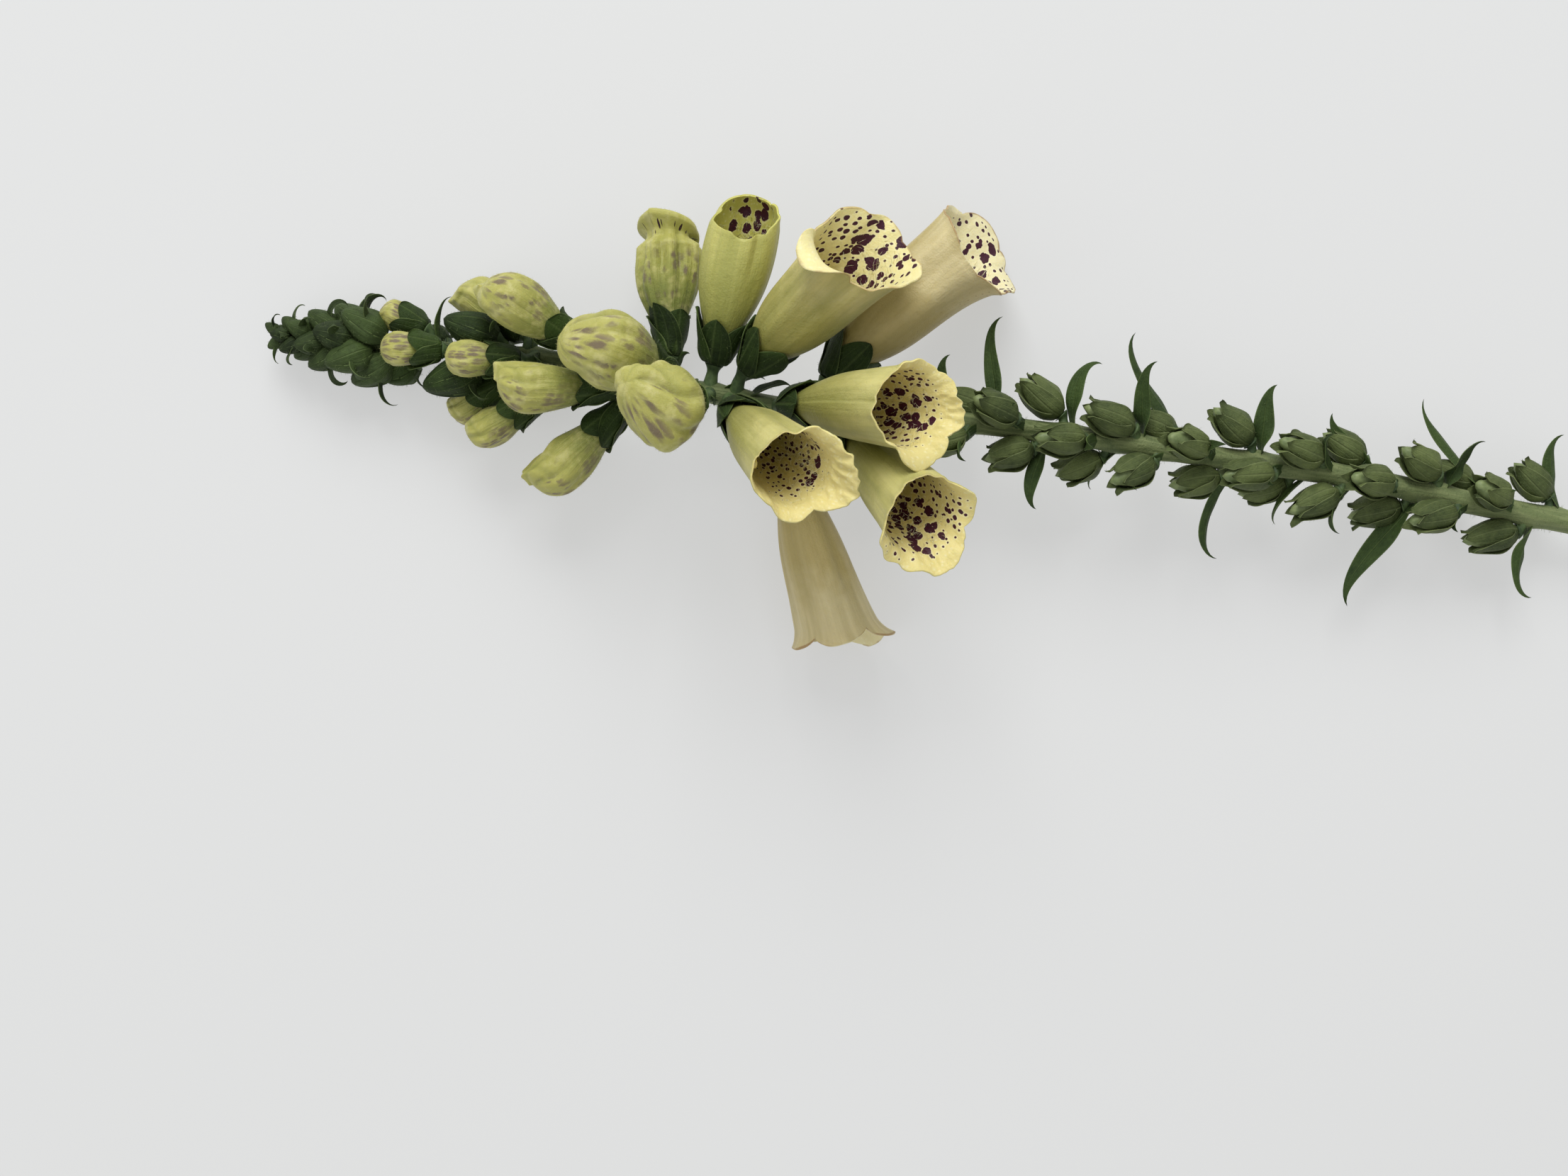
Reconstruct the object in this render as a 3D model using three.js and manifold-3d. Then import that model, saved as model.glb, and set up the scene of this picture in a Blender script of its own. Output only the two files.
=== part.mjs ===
// A cut flower spike of a cream foxglove (Digitalis purpurea), lying on a flat surface.
//
// Millimetres, +Z up from the surface. The stem runs along +X from its tip to its cut end and sways
// a little in Y. From the tip come closed green buds, yellow buds, open bells and then seed pods in
// their calyces, each over a narrow bract. Everything green grew together and is one body, and each
// corolla is a piece of its own, sitting loose in the cup of its calyx.

import * as THREE from "three";
import { mergeVertices } from "three/addons/utils/BufferGeometryUtils.js";
import Module from "manifold-3d";

const wasm = await Module();
wasm.setup();

const { degToRad, lerp, smoothstep } = THREE.MathUtils;

// ---------------------------------------------------------------------------------------------
// Driving dimensions
// ---------------------------------------------------------------------------------------------

// Place of the stem's tip from the origin, which is under the middle of the whole spike.
const TIP = { x: -184.7, y: 0.2 };

// Route of the stem: a point each STEP along X, with its Y and its height over the surface.
const STEP = 31;
const SWAY = [-0.6, 1.2, 3.6, 1.6, 0.6, 3.6, 5.2, 5.8, 6.6, 5.4, 4.6, 3.0, 0.6];
const RISE = [6.9, 9.7, 15.2, 20.4, 22.5, 21.5, 19, 16.5, 14, 11.5, 9, 6, 3.2];
const STEM = { length: STEP * (SWAY.length - 1), spans: 19, tip: 0.8, gain: 2.4, taper: 110 };

// Flowers: x is measured along the stem from its tip, az turns about the stem (0 is +Y and 90 is
// up), lean is the angle from the tip's direction, and roll turns a flower about its own axis.
const BUDS = [
  // x, az, lean, roll, pedicel, length, radius, leaf
  [42, 97, 22, 0, 3.5, 14, 4.0, 6],
  [37, 15, 22, 0, 3.5, 12, 3.6, 13],
  [56, 200, 34, 0, 7, 15, 4.0, 10],
  [61, 110, 22, 0, 4.5, 17, 4.0, 6],
  [59, -12, 31, 0, 3.5, 20, 5.1, 10],
  [67, 180, 40, 0, 9, 19, 4.3, 10],
  [74, 54, 33, 0, 4.5, 26, 6.2, 12],
  [84, 127, 26, -25, 4.5, 27, 5.6, 9],
  [85, 176, 58, 0, 4.5, 28, 5.6, 14],
  [76, 255, 25, 0, 4, 16, 4.2, 8],
  [96.5, 80, 41, 0, 4, 28, 8.9, 6],
  [101.5, 104, 75, 0, 8, 27, 9.0, 6],
  [91, -6, 76, 60, 3.5, 32, 7.3, 8],
].map(([x, az, lean, roll, pedicel, length, radius, leaf]) => ({
  x, az, lean, roll, pedicel, length, radius, leaf,
}));

// Larger green buds between the yellow ones, still shut in their sepals.
const GREEN_BUDS = [
  // x, az, lean, length, radius
  [54, 49, 22, 13, 4.4],
  [50, 160, 24, 14, 4.6],
  [34, 215, 26, 10, 3.8],
  [40, 295, 26, 10, 3.8],
  [49, 245, 24, 12, 4.2],
  [54, 292, 24, 12, 4.2],
].map(([x, az, lean, length, radius]) => ({ x, az, lean, pedicel: 3.5, length, radius }));

// Open bells: tube is the length to the mouth, belly the radius before the mouth flares, lip scales
// the five lobes, curl turns them out (in where it is below 0), and bend bows the tube.
const BELLS = [
  // name, x, az, lean, roll, pedicel, tube, belly, flare, lip, curl, bend
  ["bell_upper_young", 101, 14, 92, 85, 4, 29.5, 8.5, -0.9, 0.75, -75, 0],
  ["bell_upper_open", 107, 30, 122, 45, 5, 36, 8.8, 1.4, 0.7, 10, 5],
  ["bell_upper_faded", 125.5, -2, 124, 35, 5, 43, 9.0, 1.8, 0.85, 15, 16],
  ["bell_front_upper", 117, 88, 131, 5, 5, 36.5, 8.3, 0.9, 0.75, 20, 6],
  ["bell_front_middle", 106, 111, 118, -15, 6, 35.5, 7.9, 0.7, 0.7, 15, 5],
  ["bell_front_lower", 130, 122, 118, -70, 5, 34.5, 7.9, 0.9, 0.75, 15, 5],
  ["bell_lower_faded", 118, 191.5, 114, -60, 5, 43, 8.2, 1.4, 0.8, 10, 6],
].map(([name, x, az, lean, roll, pedicel, tube, belly, flare, lip, curl, bend]) => ({
  name, x, az, lean, roll, pedicel, tube, belly, flare, lip,
  curl: degToRad(curl), bend: degToRad(bend),
}));

// Shape that every bell shares: the neck, the swell of the tube and the five lobes of the rim.
const NECK = 2.4;
const SWELL = { share: 0.42, power: 1.9 };
const SLANT = 0.06;
const FRINGE = 1.2;
const LOBES = [
  { at: 0, half: 42, length: 9 },
  { at: 72, half: 36, length: 6 },
  { at: -72, half: 36, length: 6 },
  { at: 144, half: 38, length: 5 },
  { at: -144, half: 38, length: 5 },
];
const WALL = 0.9;

// Green pieces.
const CLEAR = 0.4;
const SEPALS = 5;
const APOTHEM = Math.cos(Math.PI / (2 * SEPALS));
const SEPAL = { thick: 0.8, gap: 0.38, floor: 0.5, base: -0.6 };
const BELL_CALYX = { length: 12, bulge: 1.0 };
const BLADE = { thick: 0.9, fold: 0.16, root: 1.0 };
const GOLDEN_ANGLE = 137.508;
const STALK = 1.3;
const TIP_BUDS = { count: 23, start: 0.6, step: 0.85, spread: 0.018 };
const PODS = { count: 29, start: 143, step: 5.4, pedicel: 1.6, radius: 3.8 };
// Bracts of the pods that stand clear of the stem; the others are tucked along it.
const POD_BRACTS = [
  { pod: 2, az: 10, length: 13, width: 3.6, lean: 55, curl: 30 },
  { pod: 4, az: -18, length: 18, width: 4, lean: 62, curl: 35 },
  { pod: 6, az: 176, length: 15, width: 4.2, lean: 70, curl: 30 },
  { pod: 7, az: 4, length: 16, width: 4.2, lean: 80, curl: 65 },
  { pod: 10, az: 20, length: 17, width: 4, lean: 70, curl: 30 },
  { pod: 12, az: -10, length: 24, width: 4.2, lean: 42, curl: 25 },
  { pod: 14, az: 184, length: 21, width: 4.4, lean: 62, curl: 60 },
  { pod: 15, az: 12, length: 15, width: 5, lean: 82, curl: 10 },
  { pod: 17, az: 195, length: 12, width: 3.6, lean: 50, curl: 40 },
  { pod: 20, az: 0, length: 16, width: 4.2, lean: 30, curl: 15 },
  { pod: 22, az: 186, length: 27, width: 5.4, lean: 58, curl: 15 },
  { pod: 23, az: 22, length: 13, width: 4, lean: 92, curl: 40 },
  { pod: 25, az: -12, length: 20, width: 4, lean: 36, curl: 20 },
  { pod: 27, az: 180, length: 17, width: 4.2, lean: 75, curl: 60 },
  { pod: 28, az: 6, length: 17, width: 4.2, lean: 60, curl: 45 },
];

// ---------------------------------------------------------------------------------------------
// Solids
// ---------------------------------------------------------------------------------------------

// A skin of one ring of corners for each row: place(turn, row) gives a corner. It closes where the
// first and last rows shrink to a point, or are the same ring.
function skin(sides, rows, place) {
  const sheet = new THREE.CylinderGeometry(1, 1, 1, sides, rows.length - 1, true);
  const { position, uv } = sheet.attributes;
  for (let i = 0; i < position.count; i++) {
    const turn = (2 * Math.PI * (Math.round(uv.getX(i) * sides) % sides)) / sides;
    const row = rows[Math.round((1 - uv.getY(i)) * (rows.length - 1))];
    position.setXYZ(i, ...place(turn, row).toArray());
  }
  sheet.deleteAttribute("normal");
  sheet.deleteAttribute("uv");
  return solid(mergeVertices(sheet, 1e-4));
}

function solid(merged) {
  const corners = merged.index.array;
  const faces = [];
  for (let i = 0; i < corners.length; i += 3) {
    const [a, b, c] = corners.slice(i, i + 3);
    if (a !== b && b !== c && c !== a) faces.push(a, b, c);
  }
  const build = (triVerts) =>
    new wasm.Manifold(
      new wasm.Mesh({
        numProp: 3,
        vertProperties: new Float32Array(merged.attributes.position.array),
        triVerts: new Uint32Array(triVerts),
      }),
    );
  const made = build(faces);
  return made.volume() < 0 ? build(faces.reverse()) : made;
}

const join = (solids) => solids.reduce((whole, next) => whole.add(next));

function mesh(name, whole, material) {
  const { vertProperties, triVerts } = whole.getMesh();
  const geometry = new THREE.BufferGeometry();
  geometry.setAttribute("position", new THREE.BufferAttribute(vertProperties, 3));
  geometry.setIndex(new THREE.BufferAttribute(triVerts, 1));
  geometry.computeVertexNormals();
  const made = new THREE.Mesh(geometry, material);
  made.name = name;
  return made;
}

// ---------------------------------------------------------------------------------------------
// Stem, and the seat of each flower on it
// ---------------------------------------------------------------------------------------------

const stemRoute = new THREE.CatmullRomCurve3(
  SWAY.map((y, i) => new THREE.Vector3(STEP * i, y, RISE[i])),
  false,
  "catmullrom",
  0.5,
);

const stemRadius = (x) => STEM.tip + STEM.gain * (1 - Math.exp(-x / STEM.taper));

// Axis point at x, the direction to the tip, and the way out of the stem at an angle az.
function stemAt(x, az = 0) {
  const share = THREE.MathUtils.clamp(x / STEM.length, 0, 1);
  const point = stemRoute.getPoint(share);
  const tipward = stemRoute.getTangent(share).negate();
  const out = new THREE.Vector3(0, Math.cos(degToRad(az)), Math.sin(degToRad(az)));
  out.addScaledVector(tipward, -out.dot(tipward)).normalize();
  return { point, tipward, out, side: out.clone().cross(tipward) };
}

// Frame of a flower: X to its lower lip, Z along it, and the origin at the floor of its calyx.
function seat({ x, az, lean, roll = 0, pedicel = 5 }) {
  const { point, tipward, out } = stemAt(x, az);
  const angle = degToRad(lean);
  const along = tipward.clone().multiplyScalar(Math.cos(angle));
  along.addScaledVector(out, Math.sin(angle));
  const belly = tipward.clone().multiplyScalar(-Math.sin(angle));
  belly.addScaledVector(out, Math.cos(angle));
  belly.applyAxisAngle(along, degToRad(roll));
  const origin = point.clone().addScaledVector(out, stemRadius(x) + 0.55 * pedicel);
  origin.addScaledVector(along, 0.45 * pedicel);
  return new THREE.Matrix4()
    .makeBasis(belly, along.clone().cross(belly), along)
    .setPosition(origin);
}

// The stem's axis and the knee of the flower's stalk, in the frame of the flower.
function rootsOf(flower) {
  const inwards = seat(flower).invert();
  const { point, out } = stemAt(flower.x, flower.az);
  const reach = stemRadius(flower.x) + 0.35 * flower.pedicel;
  return {
    axis: point.clone().applyMatrix4(inwards),
    knee: point.clone().addScaledVector(out, reach).applyMatrix4(inwards),
  };
}

function stem() {
  const rings = Array.from({ length: STEM.spans + 1 }, (_, i) => (STEM.length * i) / STEM.spans);
  const rows = [[0, 0], ...rings.map((x) => [x, stemRadius(x)]), [STEM.length, 0]];
  return skin(8, rows, (turn, [x, radius]) => {
    const { point, out, side } = stemAt(x, 90);
    return point
      .addScaledVector(side, radius * Math.cos(turn))
      .addScaledVector(out, radius * Math.sin(turn));
  });
}

// A bract: a narrow blade, folded along its rib, that leaves the stem `below` its flower at an
// angle from the tip's direction and curls away from the tip towards its own end.
function bract({ x, az, below = 1.5, length, width, lean, curl, twist = 0, rings = 4 }) {
  const { point, tipward, out, side } = stemAt(x + below, az);
  const middle = point.addScaledVector(out, stemRadius(x + below) - BLADE.root);
  const pieces = 24;
  const angleAt = (share) => degToRad(lean + curl * share ** 2);
  const heading = (angle) =>
    tipward.clone().multiplyScalar(Math.cos(angle)).addScaledVector(out, Math.sin(angle));
  const route = [middle.clone()];
  for (let i = 0; i < pieces; i++) {
    middle.addScaledVector(heading(angleAt((i + 0.5) / pieces)), length / pieces);
    route.push(middle.clone());
  }
  const shares = [0, ...Array.from({ length: rings }, (_, i) => i / rings), 1];
  const rows = shares.map((share, i) => [share, i > 0 && i <= rings ? 1 : 0]);
  return skin(3, rows, (turn, [share, open]) => {
    const face = heading(angleAt(share) - Math.PI / 2);
    const across = side.clone().applyAxisAngle(heading(angleAt(share)), degToRad(twist * share));
    face.applyAxisAngle(heading(angleAt(share)), degToRad(twist * share));
    const half = (open * width * (0.55 * (1 - share) + 1.9 * share * (1 - share))) / 1.58;
    const keel = turn === 0 ? 0 : 1;
    return route[Math.round(share * pieces)]
      .clone()
      .addScaledVector(across, half * Math.sin(turn) * 1.155)
      .addScaledVector(face, open * (keel * (2 * BLADE.fold * half) - (1 - keel) * BLADE.thick));
  });
}

// ---------------------------------------------------------------------------------------------
// Corollas
// ---------------------------------------------------------------------------------------------

// Point of a bell at a share of its tube, at an angle from the lower lip and at a distance from
// the tube's axis, which bows as an arc of a circle.
function inBell({ tube, bend }, along, turn, radius) {
  const angle = (bend * along) / tube;
  const [x, z] = bend
    ? [(tube / bend) * (1 - Math.cos(angle)), (tube / bend) * Math.sin(angle)]
    : [0, along];
  const across = radius * Math.cos(turn);
  return new THREE.Vector3(
    x + across * Math.cos(angle),
    radius * Math.sin(turn),
    z - across * Math.sin(angle),
  );
}

function bellRadius({ belly, flare }, share) {
  const swell = 1 - Math.exp(-((Math.max(0, share) / SWELL.share) ** SWELL.power));
  return NECK + (belly - NECK) * swell + flare * share ** 6;
}

// How far the rim's lobes reach past the mouth at a turn about the bell.
function lobeReach({ lip }, turn) {
  const degrees = THREE.MathUtils.radToDeg(turn);
  const reach = LOBES.map(({ at, half, length }) => {
    const off = Math.abs(((degrees - at + 540) % 360) - 180) / half;
    return off < 1 ? length * Math.cos((off * Math.PI) / 2) ** 2 : 0;
  });
  return lip * (FRINGE + reach.reduce((sum, one) => sum + one));
}

// Corner of a bell's wall: share runs up the tube, past goes on from the mouth over the lobes,
// and depth is measured inwards from the outer skin.
function bellWall(bell, turn, { share, past, depth }) {
  const mouth = bell.tube * (1 + SLANT * Math.cos(turn));
  const step = 0.01;
  const rate = (bellRadius(bell, share + step) - bellRadius(bell, share - step)) / (2 * step);
  const slope = Math.atan(rate / mouth);
  const reach = past * lobeReach(bell, turn);
  const bow = bell.curl / lobeReach(bell, 0);
  const end = slope + bow * reach;
  const along = share * mouth + (Math.sin(end) - Math.sin(slope)) / bow + depth * Math.sin(end);
  const radius = bellRadius(bell, share) + (Math.cos(slope) - Math.cos(end)) / bow;
  return inBell(bell, along, turn, radius - depth * Math.cos(end));
}

function bell(flower) {
  const outer = [0, 0.15, 0.35, 0.6, 0.85].map((share) => ({ share, past: 0, depth: 0 }));
  const inner = [0.8, 0.5, 0.25, 0].map((share) => ({ share, past: 0, depth: WALL }));
  const rows = [
    ...outer,
    { share: 1, past: 0, depth: 0 },
    { share: 1, past: 1, depth: 0 },
    { share: 1, past: 1, depth: 0.7 * WALL },
    { share: 1, past: 0, depth: WALL },
    ...inner,
    outer[0],
  ];
  return join([skin(15, rows, (turn, row) => bellWall(flower, turn, row)), ...stamens(flower)]);
}

// Four stamens lie along the upper wall, two long and two short, rooted in the neck.
function stamens(flower) {
  return [-52, -24, 24, 52].map((off) => {
    const turn = Math.PI + degToRad(off);
    const length = Math.abs(off) < 40 ? 0.68 : 0.56;
    const rows = [
      [0.13, -0.5, 0], [0.13, -0.5, 0.35], [0.5 * length, 1.1, 0.35], [length, 1.6, 0.35],
      [length + 0.04, 1.7, 1.0], [length + 0.09, 1.7, 0],
    ];
    return skin(3, rows, (around, [share, inset, thick]) => {
      const radius = bellRadius(flower, share) - WALL - inset + thick * Math.cos(around);
      const sideways = (thick * Math.sin(around)) / bellRadius(flower, share);
      return inBell(flower, share * flower.tube, turn + sideways, radius);
    });
  });
}

// A closed bud: narrow at its base, widest past its middle, with a blunt end.
function budRadius({ radius }, share) {
  const swell = lerp(BUD_NECK, radius, smoothstep(share, 0, 0.68));
  const end = Math.max(0, (share - 0.66) / 0.34);
  return swell * Math.sqrt(Math.max(0, 1 - end ** 2.2));
}

const BUD_BASE = 0.9;
const BUD_NECK = 2.0;

function bud(flower) {
  const rows = [0, 0.04, 0.25, 0.5, 0.72, 0.9, 1];
  return skin(8, rows, (turn, share) => {
    const radius = share > 0 && share < 1 ? budRadius(flower, share) : 0;
    const lift = 0.1 * radius * Math.cos(turn) * share;
    const along = BUD_BASE + share * (flower.length - BUD_BASE) + lift;
    return new THREE.Vector3(radius * Math.cos(turn), radius * Math.sin(turn), along);
  });
}

// ---------------------------------------------------------------------------------------------
// Green pieces of a flower
// ---------------------------------------------------------------------------------------------

// Five sepals grown together on a stalk from the stem, as a cup that stays clear of the corolla in
// it. inside(along) is the corolla's radius, and each sepal's tip is where the rim is highest.
function calyx(flower, { length, bulge }, inside, levels) {
  const { axis, knee } = rootsOf(flower);
  const rim = (turn) => length * (1 - 0.5 * SEPAL.gap * (1 + Math.cos(5 * turn)));
  const rows = [
    { at: axis, radius: 0 },
    { at: knee, radius: STALK },
    { at: new THREE.Vector3(0, 0, SEPAL.base), radius: 2.2 },
    ...levels.map((level) => ({ level, thick: SEPAL.thick })),
    { level: 1, thick: 0.5 * SEPAL.thick },
    ...levels.slice(-1).map((level) => ({ level, thick: 0 })),
    { at: new THREE.Vector3(0, 0, SEPAL.floor), radius: (inside(0) + CLEAR) / APOTHEM },
    { at: new THREE.Vector3(0, 0, SEPAL.floor), radius: 0 },
  ];
  return skin(2 * SEPALS, rows, (turn, { at, radius, level, thick }) => {
    const along = level * rim(turn);
    const hug = (inside(along) + CLEAR) / APOTHEM + bulge * Math.sin(Math.PI * level) + thick;
    const across = at ? radius : hug;
    const ring = new THREE.Vector3(across * Math.cos(turn), across * Math.sin(turn), 0);
    return ring.add(at ?? new THREE.Vector3(0, 0, along));
  });
}

// Ovary and style, which stand inside the bell and run along its upper side.
function pistil(flower) {
  const rows = [
    [0, 0, 0], [0, 1.1, 0], [0.12, 1.0, 0], [0.2, 0.4, 0.1], [0.45, 0.35, 0.4], [0.78, 0.4, 0.5],
    [0.8, 0, 0.5],
  ];
  return skin(4, rows, (turn, [share, thick, off]) => {
    const centre = off * bellRadius(flower, share);
    const middle = inBell(flower, share * flower.tube, Math.PI, centre);
    return middle.add(new THREE.Vector3(thick * Math.cos(turn), thick * Math.sin(turn), 0));
  });
}

// A green bud or a seed pod: five closed sepals on a stalk from the stem, with a pointed end.
function closedCalyx(flower, shape) {
  const { axis } = rootsOf(flower);
  return skin(SEPALS, [null, ...shape], (turn, row) => {
    if (!row) return axis.clone();
    const [share, wide] = row;
    const across = wide * flower.radius;
    const ring = [across * Math.cos(turn), across * Math.sin(turn), share * flower.length];
    return new THREE.Vector3(...ring);
  });
}

const GREEN_BUD = [[0.35, 1], [0.8, 0.7], [1, 0]];
const POD = [[0.04, 0.45], [0.35, 1], [0.75, 0.85], [1, 0]];

// Moves a solid made in a flower's own frame to the flower's seat.
const placed = (whole, flower) => whole.transform(seat(flower).toArray());

// ---------------------------------------------------------------------------------------------
// The spike
// ---------------------------------------------------------------------------------------------

// The buds of the tip, in a spiral that opens out, and then the larger green ones.
function greenBuds() {
  const tip = Array.from({ length: TIP_BUDS.count }, (_, k) => {
    const x = TIP_BUDS.start + TIP_BUDS.step * k + TIP_BUDS.spread * k * k;
    const length = Math.min(10, 3.2 + 0.28 * x);
    const az = 40 + GOLDEN_ANGLE * k;
    const lean = 30 + 4 * Math.sin(degToRad(az));
    return { x, az, lean, pedicel: 0.06 * x, length, radius: 0.36 * length };
  });
  return [...tip, ...GREEN_BUDS].flatMap((flower, k) => {
    const { x, az } = flower;
    const share = k < TIP_BUDS.count ? 0.85 + 0.2 * Math.sin(degToRad(az)) : 0.7;
    const length = 2.3 + share * flower.length;
    const blade = { x, az, below: 0.6, length, width: 0.22 * flower.length + 0.8 };
    return [
      placed(closedCalyx(flower, GREEN_BUD), flower),
      bract({ ...blade, lean: 52, curl: 125 + 40 * Math.sin(5 * k), rings: length > 8 ? 3 : 2 }),
    ];
  });
}

function pods() {
  return Array.from({ length: PODS.count }, (_, k) => {
    const x = PODS.start + PODS.step * k;
    const turn = ((((GOLDEN_ANGLE * k + 180) % 360) + 360) % 360) - 180;
    const az = 90 + 0.78 * turn;
    const length = 11.5 + Math.sin(4 * k);
    const flower = { ...PODS, x, az, length, lean: 27 + 9 * Math.sin(3 * k) };
    const tucked = {
      az,
      length: 11 + 2 * Math.sin(7 * k),
      width: 4,
      lean: 44 + 12 * Math.sin(5 * k),
      curl: 60 + 30 * Math.sin(2 * k),
    };
    const blade = POD_BRACTS.find(({ pod }) => pod === k) ?? tucked;
    return [
      placed(closedCalyx(flower, POD), flower),
      bract({ ...blade, x, below: 2.4, rings: blade.length > 14 ? 3 : 2 }),
    ];
  }).flat();
}

function budStalks() {
  return BUDS.map((flower, k) => {
    const cup = { length: 0.2 * flower.length + 5, bulge: 0.4 };
    const inside = (along) =>
      budRadius(flower, Math.max(0, (along - BUD_BASE) / (flower.length - BUD_BASE)));
    const blade = { x: flower.x, az: flower.az, length: flower.leaf, width: 3.6 };
    return [
      placed(calyx(flower, cup, inside, [0.5]), flower),
      bract({ ...blade, lean: 85, curl: 70 + 30 * Math.sin(5 * k), rings: 2 }),
    ];
  }).flat();
}

function bellStalks() {
  return BELLS.map((flower) => {
    const inside = (along) => bellRadius(flower, Math.max(0, along - BUD_BASE) / flower.tube);
    const blade = { x: flower.x, az: flower.az, length: 10, width: 4 };
    return [
      placed(calyx(flower, BELL_CALYX, inside, [0.3, 0.65]), flower),
      placed(pistil(flower), flower),
      bract({ ...blade, below: 3.5, lean: 140, curl: 25, rings: 3 }),
    ];
  }).flat();
}

const LEAF_GREEN = new THREE.MeshStandardMaterial({ color: 0x47693a, roughness: 0.75 });
const BUD_YELLOW = new THREE.MeshStandardMaterial({ color: 0xc6c95c, roughness: 0.6 });
const BELL_CREAM = new THREE.MeshStandardMaterial({ color: 0xe3dc9c, roughness: 0.6 });
const FADED_CREAM = new THREE.MeshStandardMaterial({ color: 0xdcc79b, roughness: 0.65 });

const spike = new THREE.Group();
spike.name = "foxglove_spike";
spike.position.set(TIP.x, TIP.y, 0);

const green = [stem(), ...greenBuds(), ...budStalks(), ...bellStalks(), ...pods()];
spike.add(mesh("flower_stalk", join(green), LEAF_GREEN));

BUDS.forEach((flower, k) => {
  const name = `bud_${String(k + 1).padStart(2, "0")}`;
  spike.add(mesh(name, placed(bud(flower), flower), BUD_YELLOW));
});

BELLS.forEach((flower) => {
  const lifted = bell(flower).translate([0, 0, BUD_BASE]);
  const colour = flower.name.includes("faded") ? FADED_CREAM : BELL_CREAM;
  spike.add(mesh(flower.name, placed(lifted, flower), colour));
});

export default spike;
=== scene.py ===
"""A cut spike of a cream foxglove, lying on a pale floor: green tip buds, yellow buds, spotted
bells and seed pods. Shapes are worked out in millimetres from the tip of the stem."""

import bpy
import numpy as np
from mathutils import Matrix, Vector


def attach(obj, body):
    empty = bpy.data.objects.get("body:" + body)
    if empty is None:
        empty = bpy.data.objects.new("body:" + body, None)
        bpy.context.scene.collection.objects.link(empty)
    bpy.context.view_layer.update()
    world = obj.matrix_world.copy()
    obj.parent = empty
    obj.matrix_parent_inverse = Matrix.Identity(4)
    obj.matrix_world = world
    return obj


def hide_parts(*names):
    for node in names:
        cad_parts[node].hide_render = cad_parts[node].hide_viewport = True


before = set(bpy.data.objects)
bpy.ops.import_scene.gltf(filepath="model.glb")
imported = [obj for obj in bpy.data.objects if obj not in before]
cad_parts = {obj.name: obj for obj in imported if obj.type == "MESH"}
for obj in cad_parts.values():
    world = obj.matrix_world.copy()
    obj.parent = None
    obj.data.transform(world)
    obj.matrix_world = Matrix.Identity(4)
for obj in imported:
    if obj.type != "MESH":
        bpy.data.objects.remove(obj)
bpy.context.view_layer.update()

rng = np.random.default_rng(7)

# ---- Driving dimensions: millimetres from the stem's tip, angles in degrees ----

TIP = np.array([-184.7, 0.2, 0.0])

# The stem's sideways place and height at even steps, its radius at the tip and how it grows.
STEP = 31
SWAY = [-0.6, 1.2, 3.6, 1.6, 0.6, 3.6, 5.2, 5.8, 6.6, 5.4, 4.6, 3.0, 0.6]
RISE = [6.9, 9.7, 15.2, 20.4, 22.5, 21.5, 19, 16.5, 14, 11.5, 9, 6, 3.2]
STEM_LENGTH = STEP * (len(SWAY) - 1)
STEM_TIP, STEM_GAIN, GAIN_LENGTH = 0.8, 2.4, 110

TIP_BUDS = 23
PODS = 29
POD_START, POD_STEP = 143, 5.4
GOLDEN_ANGLE = 137.508
GREEN_PEDICEL = 3.5
BRACT_SEED = 900

# Bells: radius of the neck, sharpness of the swell, least reach of the rim, thickness of a petal.
NECK = 2.4
SWELL_POWER = 1.9
FRINGE = 1.6
PETAL = 0.45
# Buds: height of a corolla's base over the seat, radius there, and the least radius of a fat bud.
BUD_BASE = 0.9
BUD_NECK = 2.0
FAT_BUD = 8
SEPAL_THICK, SEPAL_GAP, BRACT_THICK = 0.42, 0.45, 0.4

# Millimetres of a piece's own map for its whole width, and for a radian round a petal.
MAP_SIZE = 100
RING_SCALE = 9.0


def table(keys, rows):
    """Rows of values as dictionaries, by the names of their columns."""
    return [dict(zip(keys.split(), row)) for row in rows]


# A flower's place: x along the stem, az round it, its lean from the tip's direction and its roll.
# The leaf is the length of the bract under it.
BUDS = table("x az lean roll pedicel length radius leaf", [
    (42, 97, 22, 0, 3.5, 14, 4.0, 6),
    (37, 15, 22, 0, 3.5, 12, 3.6, 13),
    (56, 200, 34, 0, 7, 15, 4.0, 10),
    (61, 110, 22, 0, 4.5, 17, 4.0, 6),
    (59, -12, 31, 0, 3.5, 20, 5.1, 10),
    (67, 180, 40, 0, 9, 19, 4.3, 10),
    (74, 54, 33, 0, 4.5, 26, 6.2, 12),
    (84, 127, 26, -25, 4.5, 27, 5.6, 9),
    (85, 176, 58, 0, 4.5, 28, 5.6, 14),
    (76, 255, 25, 0, 4, 16, 4.2, 8),
    (96.5, 80, 41, 0, 4, 28, 8.9, 6),
    (101.5, 104, 75, -40, 8, 27, 9.0, 6),
    (91, -6, 76, 60, 3.5, 32, 7.3, 8),
])
# How far a bud's lower lobe closes over its end, and how far the lobe's corner stands out.
for bud in BUDS:
    bud["hood"] = 1.0 if bud["radius"] > FAT_BUD else 0.4
    bud["horn"] = 1.0 if 5 < bud["radius"] < FAT_BUD else 0.15

GREEN_BUDS = table("x az lean length radius", [
    (54, 49, 22, 13, 4.4),
    (50, 160, 24, 14, 4.6),
    (34, 215, 26, 10, 3.8),
    (40, 295, 26, 10, 3.8),
    (49, 245, 24, 12, 4.2),
    (54, 292, 24, 12, 4.2),
])
for bud in GREEN_BUDS:
    bud.update(pedicel=GREEN_PEDICEL, leaf=2.3 + 0.9 * bud["length"])

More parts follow.
